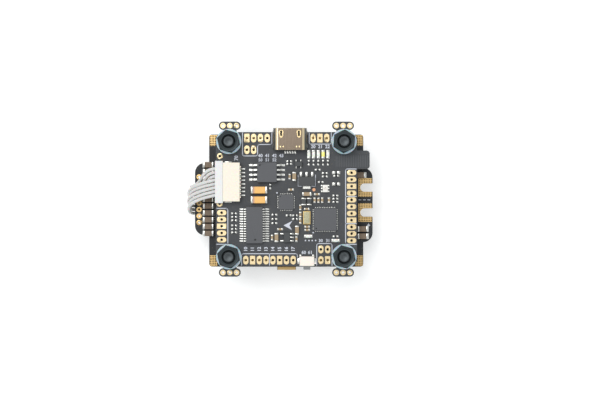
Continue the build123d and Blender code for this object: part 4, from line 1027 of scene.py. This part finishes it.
# ---- harness wires ----
# Eight thin stranded wires in white silicone insulation.  Each leaves the upper plug, bends round the edge of
# the lower board and enters the plug under it.
WIRE_D = 0.84
WIRE_ROUTES = [
    [(-18.9, 8.02, 13.65), (-20.5, 7.85, 13.4), (-21.9, 6.7, 12.3), (-22.8, 5.2, 11.1),
     (-23.9, 4.0, 9.6), (-25.0, 3.5, 7.4), (-25.85, 3.3, 4.6),
     (-25.05, 3.12, 2.6), (-23.61, 3.1, 1.75), (-22.0, 3.1, 1.75)],
    [(-18.9, 7.02, 13.65), (-20.4, 6.85, 13.3), (-21.5, 5.6, 12.2), (-22.2, 4.1, 11.1),
     (-23.4, 3.0, 9.8), (-24.9, 2.5, 7.8), (-25.85, 2.3, 4.7),
     (-25.05, 2.12, 2.6), (-23.61, 2.1, 1.75), (-22.0, 2.1, 1.75)],
    [(-18.9, 6.02, 13.65), (-20.2, 5.8, 13.2), (-20.9, 4.5, 12.0), (-21.6, 3.0, 11.0),
     (-23.1, 2.0, 9.9), (-24.75, 1.6, 8.0), (-25.8, 1.45, 4.8),
     (-25.05, 1.13, 2.6), (-23.61, 1.1, 1.75), (-22.0, 1.1, 1.75)],
    [(-18.9, 5.02, 13.65), (-20.9, 4.6, 13.9), (-23.0, 3.95, 13.4), (-24.9, 3.2, 11.8),
     (-26.05, 2.2, 9.4), (-26.2, 0.95, 6.8), (-25.9, 0.28, 4.2),
     (-25.05, 0.13, 2.6), (-23.61, 0.1, 1.75), (-22.0, 0.1, 1.75)],
    [(-18.9, 4.02, 13.65), (-20.9, 3.6, 13.75), (-23.1, 2.95, 13.15), (-24.9, 2.2, 11.6),
     (-25.9, 1.2, 9.2), (-26.0, -0.05, 6.7), (-25.85, -0.7, 4.2),
     (-25.05, -0.87, 2.6), (-23.61, -0.9, 1.75), (-22.0, -0.9, 1.75)],
    [(-18.9, 3.02, 13.65), (-20.9, 2.6, 14.0), (-23.0, 1.95, 13.6), (-24.9, 1.2, 12.0),
     (-26.1, 0.2, 9.6), (-26.25, -1.0, 6.9), (-25.85, -1.68, 4.2),
     (-25.05, -1.87, 2.6), (-23.61, -1.9, 1.75), (-22.0, -1.9, 1.75)],
    [(-18.9, 2.02, 13.65), (-20.9, 1.6, 13.8), (-23.0, 0.95, 13.3), (-24.8, 0.15, 11.7),
     (-25.9, -0.87, 9.3), (-26.0, -2.02, 6.8), (-25.85, -2.65, 4.2),
     (-25.05, -2.87, 2.6), (-23.61, -2.9, 1.75), (-22.0, -2.9, 1.75)],
    [(-18.9, 1.02, 13.65), (-20.9, 0.6, 13.7), (-23.0, -0.05, 13.1), (-24.8, -0.85, 11.6),
     (-26.05, -1.88, 9.3), (-26.2, -3.05, 6.8), (-25.85, -3.65, 4.2),
     (-25.05, -3.87, 2.6), (-23.61, -3.9, 1.75), (-22.0, -3.9, 1.75)],
]
# Silicone insulation: white-grey, soft satin, faint dust on its skin.
white_silicone = surface("white_silicone_insulation", ("#cfcfcc", "#e4e4e2"), 0.8, (0.45, 0.6), 0.006, {
    "Subsurface Weight": 0.15, "Subsurface Scale": 0.4 * MM, "IOR": 1.41, "Sheen Weight": 0.1})
for number, route in enumerate(WIRE_ROUTES, start=1):
    line = bpy.data.curves.new(f"wire_{number}", "CURVE")
    line.dimensions = "3D"
    line.bevel_depth = WIRE_D / 2 * MM
    line.bevel_resolution = 5
    line.resolution_u = 10
    line.use_fill_caps = True
    spline = line.splines.new("NURBS")
    spline.points.add(len(route) - 1)
    for point, (x, y, z) in zip(spline.points, route):
        point.co = (x * MM, y * MM, z * MM, 1)
    spline.order_u = 3
    spline.use_endpoint_u = True
    line.materials.append(white_silicone)
    wire = add_object(f"harness_wire_{number}_insulation", line)
    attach(wire, "stack")
    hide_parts(f"harness_wire_{number}")


# ---- boot button ----
# A side-push tactile switch: moulded cream base between two tinned cheeks with soldered ears, a domed spring
# inside, and a grey plunger that a fingernail presses 0.25 mm into the base.
cream_base = surface("cream_high_temperature_nylon", ("#f6ecde", "#fcf4e8"), 0.3, (0.4, 0.5), 0.004, {
    "Subsurface Weight": 0.1, "Subsurface Scale": 0.3 * MM})
stainless = metal("tinned_stainless", ("#dedcd6", "#f2f0ea"), 0.25, (0.25, 0.36), 0.003)
grey_nylon = surface("grey_plunger_nylon", ("#757776", "#868887"), 0.2, (0.4, 0.5), 0.004, {})
for node, name, edge, finish, slot, body in (
    ("boot_button_base", "button_base_moulded", 0.06, cream_base, "button_cream", "stack"),
    ("boot_button_frame", "button_cheeks", 0.04, stainless, "button_steel", "stack"),
    ("boot_button_dome", "button_dome", 0.02, stainless, "button_steel", "stack"),
    ("boot_button_plunger", "button_plunger_moulded", 0.1, grey_nylon, "plunger_grey", "boot_button"),
):
    eased(name, [node], finish, slot, edge, 2, 0.1, body=body)
